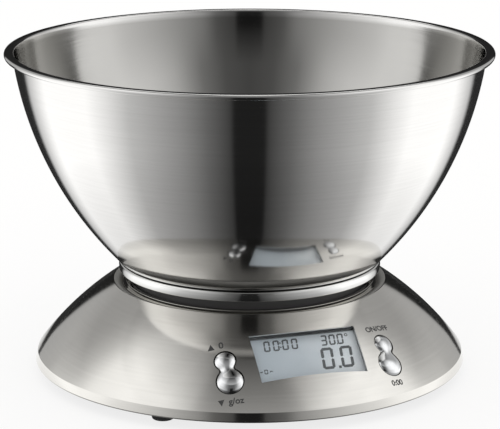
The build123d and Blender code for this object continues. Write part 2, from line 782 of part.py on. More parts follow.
def contact_leaf(y):
    """Plate at the box's -X end with a bowed leaf that presses on a cell's end."""
    half = battery_dia / 2 - contact_side_gap
    plate_x = -box_x + contact_thick
    plate = block((-box_x, plate_x), (y - half, y + half), (battery_z - half, battery_z + half))
    root_x = -box_x + contact_thick / 2
    reach = -battery_length / 2 - pocket_clear
    low, high = battery_z - contact_bow_height / 2, battery_z + contact_bow_height / 2
    bow = make_face([
        ThreePointArc((root_x, low), (reach, battery_z), (root_x, high)),
        Line((root_x, high), (root_x, high - contact_thick * 2)),
        ThreePointArc(
            (root_x, high - contact_thick * 2),
            (reach - contact_thick, battery_z),
            (root_x, low + contact_thick * 2),
        ),
        Line((root_x, low + contact_thick * 2), (root_x, low)),
    ])
    leaf_plane = Plane((0, y + contact_leaf_width / 2, 0), x_dir=(1, 0, 0), z_dir=(0, -1, 0))
    return plate + extrude(leaf_plane * bow, contact_leaf_width)


def make_battery_terminals():
    """Two spring contacts that feed the leads."""
    return Compound([contact_leaf(battery_place_y + side * battery_pitch / 2) for side in (-1, 1)])


def make_battery_bridge():
    """One spring plate that joins the cells' other ends."""
    leaves = [contact_leaf(battery_place_y + side * battery_pitch / 2) for side in (-1, 1)]
    half_z = battery_dia / 4
    y_range = (battery_place_y - battery_pitch / 2, battery_place_y + battery_pitch / 2)
    link = block((-box_x, -box_x + contact_thick), y_range, (battery_z - half_z, battery_z + half_z))
    return mirror(leaves[0] + leaves[1] + link, Plane.YZ)


def make_buzzer():
    """Brass disc with its ceramic layer, on a ring of the chassis."""
    base = floor_top + buzzer_ring_height
    disc = rod(buzzer_dia / 2, base, base + buzzer_thick, *buzzer_place)
    return disc + rod(
        buzzer_ceramic_dia / 2,
        base + buzzer_thick,
        base + buzzer_thick + buzzer_ceramic_thick,
        *buzzer_place,
    )


def display_point(x, y, depth):
    """Place in the display's own plane, in the part's frame."""
    return display_plane.from_local_coords((x, y, board_bottom - depth))


def make_load_cell_cable():
    """Cable from the load cell's side to the main board."""
    x = -cell_bore_pitch
    middle = (cell_bottom + cell_top) / 2
    return wire(cable_dia, [
        (x, -cell_width / 2, middle),
        (x, -17.0, middle),
        (x, -30.0, middle - 2.5),
        (x, -43.0, middle - 3.5),
        display_point(x, 11.0, 9.0),
        display_point(x, 11.0, 0.0),
    ])


def make_battery_lead():
    """Lead from the battery terminals to the main board, round the load cell's pedestal."""
    return wire(lead_dia, [
        lead_start,
        (lead_start[0] - 9.0, lead_start[1], lead_start[2]),
        (-45.0, 20.0, 15.5),
        (-49.0, 1.0, 17.0),
        (-44.0, -21.0, 18.0),
        (-32.0, -40.0, 18.5),
        display_point(-21.0, 10.0, 9.0),
        display_point(-21.0, 10.0, 0.0),
    ])


def make_buzzer_lead():
    """Lead from the buzzer's disc to the main board."""
    x, y = buzzer_place[0] - buzzer_dia * 0.43, buzzer_place[1]
    base = floor_top + buzzer_ring_height + buzzer_thick
    return wire(lead_dia, [
        (x, y, base),
        (x, y, base + 6.0),
        (47.0, 11.0, base + 8.0),
        (48.0, -6.0, base + 8.5),
        (42.0, -23.0, base + 8.5),
        (31.0, -40.0, base + 8.0),
        display_point(18.0, 10.0, 9.0),
        display_point(18.0, 10.0, 0.0),
    ])


def make_switch_lead():
    """Lead from a switch board's back to the main board's back."""
    return wire(lead_dia, [
        rocker_plane.from_local_coords((-1.5, 2.0, switch_board_bottom)),
        rocker_plane.from_local_coords((-1.5, 2.0, switch_board_bottom - 5.0)),
        display_point(21.0, 5.0, 5.0),
        display_point(21.0, 5.0, 0.0),
    ])


def cell_screws_up():
    """Two screws from the underside into the load cell's fixed end."""
    length = cell_bottom - cell_screw_seat + cell_thread_depth
    return Compound([screw_up(cell_screw, cell_screw_seat, length, -x) for x in cell_hole_x])


def platform_screws_down():
    """Two screws through the carrier into the load cell's free end."""
    length = platform_screw_seat - cell_top + cell_thread_depth
    return Compound([screw_down(cell_screw, platform_screw_seat, length, x) for x in cell_hole_x])


def tray_screws_up():
    """Three screws through the carrier into the tray's bosses."""
    length = carrier_thick + nest_height
    return Compound([screw_up(tray_screw, carrier_bottom, length, x, y) for x, y in tray_screw_places])


def cover_screws_up():
    """Four screws from the underside into the upper housing's bosses."""
    return Compound([
        screw_up(cover_screw, cover_screw_seat, cover_screw_length, x, y) for x, y in screw_places
    ])


nodes = {
    "bowl": make_bowl(),
    "platform_tray": make_platform_tray(),
    "platform_carrier": make_platform_carrier(),
    "tray_screws": tray_screws_up(),
    "platform_screws": platform_screws_down(),
    "load_cell": make_load_cell(),
    "strain_gauges": make_strain_gauges(),
    "load_cell_screws": cell_screws_up(),
    "base_cover": make_base_cover(),
    "upper_housing": make_upper_housing(),
    "chassis": make_chassis(),
    "cover_screws": cover_screws_up(),
    "feet": make_feet(),
    "display_bezel": make_display_bezel(),
    "display_lens": display_plate(lens_top, lcd_top),
    "lcd_panel": display_plate(lcd_top, lcd_bottom),
    "zebra_strip": make_zebra_strip(),
    "main_board": make_main_board(),
    "board_screws": make_board_screws(),
    "controller_chip": make_controller_chip(),
    "thermistor": make_thermistor(),
    "battery_door": make_battery_door(),
    "batteries": make_batteries(),
    "battery_terminals": make_battery_terminals(),
    "battery_bridge": make_battery_bridge(),
    "buzzer": make_buzzer(),
    "load_cell_cable": make_load_cell_cable(),
    "battery_lead": make_battery_lead(),
    "buzzer_lead": make_buzzer_lead(),
}

# The right-hand button set, and its mirror image on the left
button_set = {
    "rocker": make_rocker(),
    "rocker_pin": make_rocker_pin(),
    "switch_board": make_switch_board(),
    "tact_switches": make_tact_switches(),
    "switch_screws": make_switch_screws(),
    "switch_lead": make_switch_lead(),
}
for name, shape in button_set.items():
    nodes["right_" + name] = shape
    nodes["left_" + name] = mirror(shape, Plane.YZ)

for name, shape in nodes.items():
    export_step(shape, f"parts/{name}.step")

pivot = rocker_plane.from_local_coords((0, 0, -pin_depth))
print("right rocker pivot", pivot, "axis", rocker_plane.x_dir)
print("door hinge", hinge_y, hinge_z)
print("display plane", display_plane.origin, display_plane.z_dir)
print("feet", foot_places[0], "platform top", platform_top, "bowl top", bowl_top)
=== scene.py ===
import math
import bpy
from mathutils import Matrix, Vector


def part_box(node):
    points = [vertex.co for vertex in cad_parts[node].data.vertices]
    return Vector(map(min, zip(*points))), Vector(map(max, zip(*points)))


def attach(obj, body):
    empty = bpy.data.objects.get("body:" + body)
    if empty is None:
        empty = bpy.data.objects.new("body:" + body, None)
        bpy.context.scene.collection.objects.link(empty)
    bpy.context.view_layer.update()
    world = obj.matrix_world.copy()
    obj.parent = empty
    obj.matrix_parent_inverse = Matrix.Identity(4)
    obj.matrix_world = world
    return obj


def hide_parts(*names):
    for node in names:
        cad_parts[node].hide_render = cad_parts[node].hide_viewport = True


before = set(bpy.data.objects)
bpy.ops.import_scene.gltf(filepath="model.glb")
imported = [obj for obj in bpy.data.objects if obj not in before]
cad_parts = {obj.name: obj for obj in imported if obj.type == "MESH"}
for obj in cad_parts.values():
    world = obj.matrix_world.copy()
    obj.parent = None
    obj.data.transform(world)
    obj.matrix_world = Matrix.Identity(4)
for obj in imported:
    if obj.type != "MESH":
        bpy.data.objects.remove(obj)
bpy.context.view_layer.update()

from types import SimpleNamespace

import bmesh
import bpy
from mathutils import Matrix, Vector

mm = 0.001
scene = bpy.context.scene
scene.view_settings.view_transform = "Standard"


def linear(hexColour):
    parts = [int(hexColour[i:i + 2], 16) / 255 for i in (1, 3, 5)]
    return [c / 12.92 if c <= 0.04045 else ((c + 0.055) / 1.055) ** 2.4 for c in parts] + [1.0]


# adds a node; an input may be another node's output, which is linked, or a plain value
def addNode(tree, kind, inputs=None, **settings):
    node = tree.nodes.new(kind)
    for key, value in settings.items():
        setattr(node, key, value)
    for key, value in (inputs or {}).items():
        if isinstance(value, bpy.types.NodeSocket):
            tree.links.new(value, node.inputs[key])
        else:
            node.inputs[key].default_value = value
    return node


def newMaterial(name):
    material = bpy.data.materials.new(name)
    material.use_nodes = True
    material.node_tree.nodes.clear()
    return material, material.node_tree


# short forms of the nodes that repeat, each of which gives the node's output
def objectPlace(tree):
    return addNode(tree, "ShaderNodeTexCoord").outputs["Object"]


def mathOf(tree, operation, a, b=0.5):
    return addNode(tree, "ShaderNodeMath", {0: a, 1: b}, operation=operation).outputs[0]


def mixOf(tree, share, first, second):
    return addNode(tree, "ShaderNodeMix", {0: share, 6: first, 7: second}, data_type="RGBA").outputs[2]


def rangeOf(tree, value, start, end, least=0.0, most=1.0, **settings):
    return addNode(tree, "ShaderNodeMapRange", {
        "Value": value, "From Min": start, "From Max": end, "To Min": least, "To Max": most,
    }, **settings).outputs[0]


# noise with grains of a size in millimetres
def noiseOf(tree, size, detail=2.0, rough=0.5):
    return addNode(tree, "ShaderNodeTexNoise", {
        "Vector": objectPlace(tree), "Scale": 1 / (size * mm), "Detail": detail, "Roughness": rough,
    }).outputs["Fac"]


# a material's surface
def principled(tree, inputs):
    shader = addNode(tree, "ShaderNodeBsdfPrincipled", inputs)
    addNode(tree, "ShaderNodeOutputMaterial", {"Surface": shader.outputs["BSDF"]})


def newPiece(name, mesh, material=None):
    piece = bpy.data.objects.new(name, mesh)
    scene.collection.objects.link(piece)
    if material:
        mesh.materials.clear()
        mesh.materials.append(material)
    return piece


# a bmesh as a plain mesh; a solid's faces are turned outwards
def toMesh(shape, name, solid=True):
    if solid:
        bmesh.ops.recalc_face_normals(shape, faces=shape.faces)
    mesh = bpy.data.meshes.new(name)
    shape.to_mesh(mesh)
    shape.free()
    return mesh


def hideFrom(piece, *rays):
    for ray in rays:
        setattr(piece, "visible_" + ray, False)


def settle(piece, body, slotName, *nodes):
    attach(piece, body)
    if nodes:
        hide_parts(*nodes)
    return piece


# the modifiers' result as a plain mesh
def bakeMesh(piece):
    bpy.context.view_layer.update()
    return bpy.data.meshes.new_from_object(piece.evaluated_get(bpy.context.evaluated_depsgraph_get()))


# the piece's mesh with the cutters taken out of it
def cutMesh(piece, cutters):
    for cutter in cutters:
        cut = piece.modifiers.new(cutter.name, "BOOLEAN")
        cut.operation = "DIFFERENCE"
        cut.solver = "EXACT"
        cut.object = cutter
    mesh = bakeMesh(piece)
    piece.modifiers.clear()
    for cutter in cutters:
        bpy.data.objects.remove(cutter)
    return mesh


# Camera, where the photograph was taken from
cameraSetup = SimpleNamespace(
    turn=-19.2,  # degrees from straight in front
    distance=1000.0,  # from the bowl's axis
    height=324.1,
    tilt=14.28,  # degrees down
    lens=166.16,
    shift=0.0008,
)
turn = math.radians(cameraSetup.turn)
cameraData = bpy.data.cameras.new("photoCamera")
cameraData.sensor_width = 36
cameraData.lens = cameraSetup.lens
cameraData.shift_x = cameraSetup.shift
camera = bpy.data.objects.new("photoCamera", cameraData)
scene.collection.objects.link(camera)
camera.location = Vector((
    math.sin(turn) * cameraSetup.distance,
    -math.cos(turn) * cameraSetup.distance,
    cameraSetup.height,
)) * mm
camera.rotation_euler = (math.radians(90 - cameraSetup.tilt), 0, turn)
scene.camera = camera

# Studio: white floor and world, and a tent of light and dark panels that only the metal mirrors
studio = SimpleNamespace(
    floorRadius=6000,
    floorColour="#7c7b7a",
    floorLift=0.8,
    nearFloor=(97, 220, 0.72),  # the mirrored floor brightens between these radii, from this share
    ceilingFade=(300, 1150, 0.15),  # and the ceiling between these
    tentRadius=1400,
    tentHeight=1300,
    steps=128,
    steelShare=0.72,  # of the light that it mirrors
    overhead=(130, 300, 1.0),  # a lamp straight above, with a soft edge, and its strength
    overheadGrey=0.8,
    wallStep=(380, 720),  # heights where the wall's lower bands give way to its upper ones
    # degrees round from the camera, and how bright the steel shows it
    floorBands=[
        (0, 0.012), (6.5, 0.012), (8, 0.045), (18, 0.12), (30, 0.25), (42, 0.36), (54, 0.48), (66, 0.76),
        (78, 1.0), (110, 1.0), (122, 0.65), (128, 0.5), (134, 0.02), (160, 0.02), (180, 0.06),
    ],
    wallBands=[
        (0, 0.01), (6.8, 0.01), (7.6, 0.06), (12.5, 0.08), (18, 0.11), (25, 0.25), (36, 0.38), (52, 0.56),
        (70, 0.75), (80, 0.9), (92, 0.95), (102, 0.9), (112, 0.7), (122, 0.55), (132, 0.4), (145, 0.35),
        (150, 0.34), (152, 0.3), (154, 0.012), (180, 0.012),
    ],
    upperBands=[
        (0, 0.08), (14, 0.105), (28, 0.22), (36, 0.38), (44, 0.57), (52, 0.7), (60, 0.8), (70, 0.88),
        (78, 0.94), (94, 0.88), (100, 0.82), (103, 0.73), (107, 0.61), (112, 0.48), (117, 0.4), (122, 0.34),
        (127, 0.31), (134, 0.3), (150, 0.29), (158, 0.04), (180, 0.03),
    ],
    ceilingBands=[
        (0, 0.3), (20, 0.3), (27, 0.33), (33, 0.4), (41, 0.6), (50, 0.73), (57, 0.82), (70, 0.86),
        (81, 0.9), (89, 0.86), (98, 0.76), (106, 0.58), (113, 0.43), (120, 0.33), (127, 0.28), (138, 0.3),
        (152, 1.1), (180, 1.4),
    ],
)


def discMesh(name, radius, height):
    shape = bmesh.new()
    bmesh.ops.create_circle(shape, cap_ends=True, segments=studio.steps, radius=radius * mm)
    bmesh.ops.translate(shape, verts=shape.verts, vec=(0, 0, height * mm))
    return toMesh(shape, name, solid=False)


# the brightness of a panel, by degrees from the camera's side
def bandColour(tree, share, bands):
    ramp = addNode(tree, "ShaderNodeValToRGB", {"Fac": share})
    stops = sorted((1 - degrees / 180, value / studio.steelShare) for degrees, value in bands)
    elements = ramp.color_ramp.elements
    while len(elements) < len(stops):
        elements.new(0.5)
    for element, (position, value) in zip(elements, stops):
        element.position = position
        element.color = (value, value, value, 1)
    return ramp.outputs["Color"]


# the way from the object's axis in plan, and its length
def planWay(tree, place):
    flat = addNode(tree, "ShaderNodeVectorMath", {0: place, 1: (1, 1, 0)}, operation="MULTIPLY")
    away = addNode(tree, "ShaderNodeVectorMath", {0: flat.outputs["Vector"]}, operation="LENGTH")
    return flat.outputs["Vector"], away.outputs["Value"]


# glow that changes round the object; it may change with height, fade towards the axis, and hold a lamp
def panelMaterial(name, bands, near=None, upper=None, overhead=None):
    material, tree = newMaterial(name)
    turned = addNode(tree, "ShaderNodeMapping", {
        "Vector": objectPlace(tree), "Rotation": (0, 0, -turn),
    }).outputs["Vector"]
    parts = addNode(tree, "ShaderNodeSeparateXYZ", {"Vector": turned})
    angle = mathOf(tree, "ARCTAN2", parts.outputs["X"], parts.outputs["Y"])
    share = mathOf(tree, "DIVIDE", mathOf(tree, "ABSOLUTE", angle), math.pi)
    colour = bandColour(tree, share, bands)
    strength = 1.0
    if upper:
        low, high = studio.wallStep
        climb = rangeOf(tree, parts.outputs["Z"], low * mm, high * mm)
        colour = mixOf(tree, climb, colour, bandColour(tree, share, upper))
    if near:
        start, end, least = near
        _, away = planWay(tree, turned)
        strength = rangeOf(tree, away, start * mm, end * mm, least)
    if overhead:
        start, end, most = overhead
        lamp = rangeOf(tree, away, start * mm, end * mm, most, 0.0)
        strength = mathOf(tree, "MAXIMUM", strength, lamp)
        colour = mixOf(tree, lamp, colour, [studio.overheadGrey] * 3 + [1])
    glow = addNode(tree, "ShaderNodeEmission", {"Color": colour, "Strength": strength})
    addNode(tree, "ShaderNodeOutputMaterial", {"Surface": glow.outputs["Emission"]})
    return material


def wallMesh(name, radius, height):
    shape = bmesh.new()
    bmesh.ops.create_cone(shape, cap_ends=False, segments=studio.steps, radius1=radius * mm,
                          radius2=radius * mm, depth=height * mm)
    bmesh.ops.translate(shape, verts=shape.verts, vec=(0, 0, height * mm / 2))
    return toMesh(shape, name, solid=False)


floorMaterial, floorTree = newMaterial("whiteFloorPaper")
principled(floorTree, {
    "Base Color": linear(studio.floorColour), "Roughness": 0.9, "Specular IOR Level": 0.0,
    "Emission Color": (1, 1, 1, 1), "Emission Strength": studio.floorLift,
})
floor = newPiece("floor", discMesh("floor", studio.floorRadius, 0), floorMaterial)
hideFrom(floor, "glossy")

tentPanels = {
    "floorPanel": (discMesh("floorPanel", studio.tentRadius, -0.5),
                   panelMaterial("floorPanel", studio.floorBands, studio.nearFloor)),
    "wallPanel": (wallMesh("wallPanel", studio.tentRadius, studio.tentHeight),
                  panelMaterial("wallPanel", studio.wallBands, upper=studio.upperBands)),
    "ceilingPanel": (discMesh("ceilingPanel", studio.tentRadius, studio.tentHeight),
                     panelMaterial("ceilingPanel", studio.ceilingBands, studio.ceilingFade,
                                   overhead=studio.overhead)),
}
for name, (mesh, material) in tentPanels.items():
    panel = newPiece(name, mesh, material)
    hideFrom(panel, "camera", "diffuse", "transmission", "shadow")

world = bpy.data.worlds.new("whiteStudio")
scene.world = world
world.use_nodes = True
world.node_tree.nodes.clear()
sky = addNode(world.node_tree, "ShaderNodeBackground", {"Color": (1, 1, 1, 1), "Strength": 1.0})
addNode(world.node_tree, "ShaderNodeOutputWorld", {"Surface": sky.outputs["Background"]})
print("studio: camera, floor and light tent")


# colour, gloss and relief that follow one noise
# reach is how far the noise strays from a half, and change the share by which the roughness does
def noiseFinish(tree, noise, look, size, reach, change):
    colour = mixOf(tree, noise, linear(look["dark"]), linear(look["light"]))
    gloss = rangeOf(tree, noise, 0.5 - reach, 0.5 + reach,
                    look["rough"] * (1 - change), look["rough"] * (1 + change))
    relief = addNode(tree, "ShaderNodeBump", {
        "Height": noise, "Strength": look["relief"], "Distance": size * mm,
    })
    # painted shade: marked points take the look's darker colour
    if "inside" in look:
        inner = addNode(tree, "ShaderNodeAttribute", attribute_name="inside")
        colour = mixOf(tree, inner.outputs["Fac"], colour, linear(look["inside"]))
    principled(tree, {
        "Base Color": colour, "Metallic": look["metallic"], "Roughness": gloss,
        "Normal": relief.outputs["Normal"],
    })


# Stainless steel turned on a lathe: fine rings round the axis, which also vary the gloss a little
# lineSize is in millimetres, and sweep is how much the rings change on the way round
def turnedSteel(name, look):
    material, tree = newMaterial(name)
    place = objectPlace(tree)
    flat, away = planWay(tree, place)
    way = addNode(tree, "ShaderNodeVectorMath", {0: flat}, operation="NORMALIZE")
    parts = addNode(tree, "ShaderNodeSeparateXYZ", {"Vector": way.outputs["Vector"]})
    height = addNode(tree, "ShaderNodeSeparateXYZ", {"Vector": place})
    perMetre = 1 / (look["lineSize"] * mm)
    ringPlace = addNode(tree, "ShaderNodeCombineXYZ", {
        "X": mathOf(tree, "MULTIPLY", parts.outputs["X"], look["sweep"]),
        "Y": mathOf(tree, "MULTIPLY", parts.outputs["Y"], look["sweep"]),
        "Z": mathOf(tree, "MULTIPLY", away, perMetre),
    })
    rings = addNode(tree, "ShaderNodeTexNoise", {
        "Vector": ringPlace.outputs["Vector"], "Scale": 1.0, "Detail": 3.0, "Roughness": 0.6,
        "W": mathOf(tree, "MULTIPLY", height.outputs["Z"], perMetre),
    }, noise_dimensions="4D")
    noiseFinish(tree, rings.outputs["Fac"], dict(look, metallic=1.0), look["lineSize"], 0.25, 0.2)
    return material


# Moulded, cast or plated surface with an even fine grain, whose size is in millimetres
def grained(name, dark, light, grain, rough, relief=0.15, metallic=0.0):
    material, tree = newMaterial(name)
    look = {"dark": dark, "light": light, "rough": rough, "relief": relief, "metallic": metallic}
    noiseFinish(tree, noiseOf(tree, grain, 4.0, 0.55), look, grain, 0.2, 0.15)
    return material


# Outlines are lists of points (radius, height) in millimetres
def between(start, end, steps):
    return [Vector(start).lerp(Vector(end), i / steps) for i in range(steps + 1)]


# arc from start to end; bulge 1 swells to the right of the way, -1 to the left
def arcCentre(start, end, radius, bulge):
    along = Vector(end) - Vector(start)
    side = Vector((along.y, -along.x)).normalized() * bulge
    return (Vector(start) + Vector(end)) / 2 - side * math.sqrt(radius ** 2 - along.length_squared / 4)


def arcAbout(centre, start, end, steps):
    first = Vector(start) - Vector(centre)
    last = Vector(end) - Vector(centre)
    begin = math.atan2(first.y, first.x)
    sweep = math.atan2(last.y, last.x) - begin
    sweep = (sweep + math.pi) % (2 * math.pi) - math.pi
    points = []
    for i in range(steps + 1):
        angle = begin + sweep * i / steps
        points.append(Vector(centre) + Vector((math.cos(angle), math.sin(angle))) * first.length)
    return points


# runs of points as one outline; a point that two runs share is kept once
def joined(*runs):
    outline = []
    for run in runs:
        shared = outline and (outline[-1] - run[0]).length < 1e-4
        outline += run[1:] if shared else run
    return outline


# rounds corners of the outline, each given by a place near it, a radius and a number of parts
def roundCorners(outline, *corners):
    for place, radius, steps in corners:
        at = min(range(len(outline)), key=lambda i: (outline[i] - Vector(place)).length)
        here = outline[at]
        before = outline[:at]
        after = outline[at + 1:]
        for _ in range(4):
            u = (before[-1] - here).normalized()
            v = (after[0] - here).normalized()
            half = u.angle(v) / 2
            cut = radius / math.tan(half)
            while len(before) > 1 and (before[-1] - here).length < cut * 1.02:
                before.pop()
            while len(after) > 1 and (after[0] - here).length < cut * 1.02:
                after.pop(0)
        centre = here + (u + v).normalized() * (radius / math.sin(half))
        outline = before + arcAbout(centre, here + u * cut, here + v * cut, steps) + after
    return outline


# faces between two rows of points; a row of one point is a pole
def bridge(shape, a, b, steps, smooth=True):
    for k in range(steps):
        corners = [a[k % len(a)], a[(k + 1) % len(a)], b[(k + 1) % len(b)], b[k % len(b)]]
        if len(a) == 1:
            corners.pop(1)
        elif len(b) == 1:
            corners.pop(2)
        shape.faces.new(corners).smooth = smooth


# turns an outline about the Z axis; an outline that starts and ends on the axis is closed there
def spinMesh(name, outline, steps):
    loop = outline[0].x > 1e-6
    shape = bmesh.new()
    rings = []
    for point in outline:
        if point.x < 1e-6:
            rings.append([shape.verts.new((0, 0, point.y * mm))])
            continue
        ring = []
        reach = point.x * mm
        for k in range(steps):
            angle = 2 * math.pi * k / steps
            ring.append(shape.verts.new((reach * math.cos(angle), reach * math.sin(angle), point.y * mm)))
        rings.append(ring)
    pairs = list(zip(rings, rings[1:]))
    if loop:
        pairs.append((rings[-1], rings[0]))
    for a, b in pairs:
        bridge(shape, a, b, steps)
    return toMesh(shape, name)


# thin ring under the line from an inner to an outer point
def thinRing(name, inner, outer, thick, steps=128):
    under = [(radius, height - thick) for radius, height in (inner, outer)]
    return spinMesh(name, [Vector(p) for p in under + [outer, inner]], steps)


# marks the points where the steel's shader paints shade, as a darker colour
def markPaintedShade(mesh, isShaded):
    inside = mesh.attributes.new("inside", "FLOAT", "POINT")
    for vertex in mesh.vertices:
        inside.data[vertex.index].value = float(isShaded(vertex))


# Polished stainless steel: the spun bowl mirrors the studio, with fine turning rings
bowlSteel = turnedSteel("polishedStainlessSteel", {
    "dark": "#d6d5d3", "light": "#e2e1df", "rough": 0.09, "lineSize": 0.9, "relief": 0.004, "sweep": 2.0,
    # painted shade: the darker colour of the bowl's inside
    "inside": "#b3b2af",
})
# Buffed stainless steel: brighter and smoother than the bowl
traySteel = turnedSteel("buffedStainlessSteel", {
    "dark": "#d8d8d6", "light": "#e4e4e2", "rough": 0.08, "lineSize": 1.2, "relief": 0.003, "sweep": 2.0,
})
# Drawn stainless steel: polished after drawing, a little warmer than the bowl
coverSteel = turnedSteel("drawnStainlessSteel", {
    "dark": "#d3d1cc", "light": "#dfddd8", "rough": 0.1, "lineSize": 1.4, "relief": 0.002, "sweep": 2.0,
    # painted shade: the darker colour of the collar's lip, under the platform
    "inside": "#aaa8a3",
})
# Chromium plate over moulded ABS: a clear mirror with a slight ripple of the moulding
chromePlate = grained("chromedAbs", "#e0e1e2", "#eaebec", 6.0, 0.05, 0.004, 1.0)
# ABS in charcoal, spark-eroded mould: dull, with a fine even grain
charcoalAbs = grained("charcoalAbs", "#252628", "#303134", 0.5, 0.5, 0.2)
# Nitrile rubber: darker and duller than the plastic
footRubber = grained("nitrileRubber", "#1b1b1c", "#262627", 0.7, 0.8, 0.25)
# Zinc plated steel: pale grey with a slight sparkle
zincSteel = grained("zincPlatedSteel", "#b9b9b5", "#d2d2cf", 0.4, 0.28, 0.05, 1.0)
print("materials: steel, chrome, plastic, rubber")

# Bowl
bowlSizes = SimpleNamespace(
    rim=107.5, top=145.3, flange=3.75, flangeThick=2.4, lipRound=0.9,
    wall=0.8, arc=161.3, foot=58.3, bottom=50.9, footRound=2.0, heelRound=0.9,
    panel=40.4, panelHeight=52.8, draft=2.0, pressRound=1.4,
    steps=256,
)


def bowlOutline(s):
    wallTop = (s.rim - s.flange, s.top - s.flangeThick)
    foot = (s.foot, s.bottom)
    centre = arcCentre(foot, wallTop, s.arc, 1)
    innerArc = s.arc - s.wall
    hem = s.flangeThick / 2
    innerBottom = s.bottom + s.wall
    lip = (centre.x + math.sqrt(innerArc ** 2 - (s.top - centre.y) ** 2), s.top)
    innerFoot = (centre.x + math.sqrt(innerArc ** 2 - (innerBottom - centre.y) ** 2), innerBottom)
    hemCentre = (s.rim - hem, s.top - hem)
    draftEnd = (s.panel + s.draft, s.bottom)
    innerDraftEnd = (draftEnd[0] - s.wall / 2, innerBottom)
    panelEdge = (s.panel, s.panelHeight)
    innerPanelEdge = (s.panel - s.wall / 2, s.panelHeight + s.wall)
    outline = joined(
        between((0, s.panelHeight), panelEdge, 10),
        between(panelEdge, draftEnd, 4),
        between(draftEnd, foot, 6),
        arcAbout(centre, foot, wallTop, 56),
        between(wallTop, (hemCentre[0], wallTop[1]), 4),
        arcAbout(hemCentre, (hemCentre[0], wallTop[1]), (s.rim, hemCentre[1]), 6),
        arcAbout(hemCentre, (s.rim, hemCentre[1]), (hemCentre[0], s.top), 6),
        between((hemCentre[0], s.top), lip, 4),
        arcAbout(centre, lip, innerFoot, 56),
        between(innerFoot, innerDraftEnd, 6),
        between(innerDraftEnd, innerPanelEdge, 4),
        between(innerPanelEdge, (0, innerPanelEdge[1]), 10),
    )
    return roundCorners(
        outline, (foot, s.heelRound, 8), (lip, s.lipRound, 6), (innerFoot, s.footRound, 8),
        (wallTop, s.wall / 2, 4), (panelEdge, s.pressRound / 2, 5),
        (innerPanelEdge, s.pressRound / 2, 5),
    )


bowlMesh = spinMesh("bowl_spun", bowlOutline(bowlSizes), bowlSizes.steps)
# painted shade: the bowl's inside takes a darker colour
mouth = (bowlSizes.rim - bowlSizes.flange - bowlSizes.lipRound) * mm
markPaintedShade(bowlMesh, lambda v: v.normal.z > 0 and v.co.xy.length < mouth)
settle(newPiece("bowl_spun", bowlMesh, bowlSteel), "bowl", "bowl_steel", "bowl")
print("bowl:", len(bowlMesh.polygons), "faces")

# Platform tray, the bright ring under the bowl
traySizes = SimpleNamespace(
    radius=58.6, top=50.9, bottom=45.9, underside=49.7, wall=1.2,
    step=0.7, ring=3.4, roll=5.0, rollThick=0.6, crown=0.3, edgeRound=0.8,
    nest=40.0, nestHeight=1.5, draft=2.0,
    seatLift=0.02, seatGap=0.05, seatThick=0.1,
    steps=256,
)


def trayOutline(s):
    nestTop = s.top + s.nestHeight
    ringTop = s.top - s.step
    ringIn = s.radius - s.ring
    rollIn = s.radius - s.roll
    rollTop = s.bottom + s.rollThick
    rimEdge = s.radius - s.crown
    half = (ringTop - s.bottom) / 2
    crownArc = (half ** 2 + s.crown ** 2) / (2 * s.crown)
    upper = (rimEdge, ringTop)
    lower = (rimEdge, s.bottom)
    centre = arcCentre(upper, lower, crownArc, -1)
    inner = s.radius - s.wall
    outline = joined(
        between((0, nestTop), (s.nest, nestTop), 8),
        between((s.nest, nestTop), (s.nest + s.draft, s.top), 4),
        between((s.nest + s.draft, s.top), (ringIn, s.top), 6),
        between((ringIn, ringTop), upper, 4),
        arcAbout(centre, upper, lower, 16),
        between((rollIn, s.bottom), (rollIn, rollTop), 1),
        between((inner, rollTop), (inner, s.underside), 1),
        [Vector((s.nest + s.draft - s.wall / 2, s.underside))],
        [Vector((s.nest - s.wall / 2, nestTop - s.wall)), Vector((0, nestTop - s.wall))],
    )
    return roundCorners(outline, (upper, s.edgeRound, 6), (lower, s.edgeRound / 2, 5))


trayMesh = spinMesh("platform_ring", trayOutline(traySizes), traySizes.steps)
trayMesh.set_sharp_from_angle(angle=math.radians(35))
settle(newPiece("platform_ring", trayMesh, traySteel), "platform", "tray_steel", "platform_tray")
# Painted shadow: a dark, dull steel sheet on the seat in the gap under the bowl, standing for the shade
# there
seatShadowSheet = grained("paintedGapShadow", "#343433", "#414140", 0.6, 0.6, 0.1, 1.0)
seatTop = traySizes.top - traySizes.step + traySizes.seatLift
seatIn = traySizes.radius - traySizes.ring + traySizes.seatGap
seatOut = traySizes.radius - traySizes.crown - traySizes.edgeRound
seatMesh = thinRing("tray_seat", (seatIn, seatTop), (seatOut, seatTop), traySizes.seatThick)
settle(newPiece("tray_seat", seatMesh, seatShadowSheet), "platform", "tray_steel")
print("platform tray:", len(trayMesh.polygons), "faces")

# Base cover: the steel dome with its collar, rim band, window and button holes
coverSizes = SimpleNamespace(
    radius=96.7, bottom=5.0, edge=95.6, edgeHeight=9.2, bandRound=1.0, lowRound=0.5,
    domeArc=140.0, shoulder=61.3, shoulderRound=0.3, skin=0.8,
    collar=54.0, collarHeight=41.4, collarLip=4.0, collarRound=1.0,
    lipOuter=55.7, lipRound=0.35, grooveWide=1.0, grooveDeep=1.7,
    windowWide=47.4, windowHigh=22.8, windowDip=1.5, windowInset=18.4,
    windowCut=(-8, 12),  # reach of the cut below and above the dome
    # the dull slope starts past the groove and ends short of the shoulder
    slopeGap=0.1, slopeShort=0.4, slopeLift=0.07, slopeThick=0.1,
    steps=288,
)
domeCentre = arcCentre((coverSizes.shoulder, coverSizes.collarHeight),
                       (coverSizes.edge, coverSizes.edgeHeight), coverSizes.domeArc, -1)


def domeHeight(radius, inset=0.0):
    return domeCentre.y + math.sqrt((coverSizes.domeArc - inset) ** 2 - (radius - domeCentre.x) ** 2)


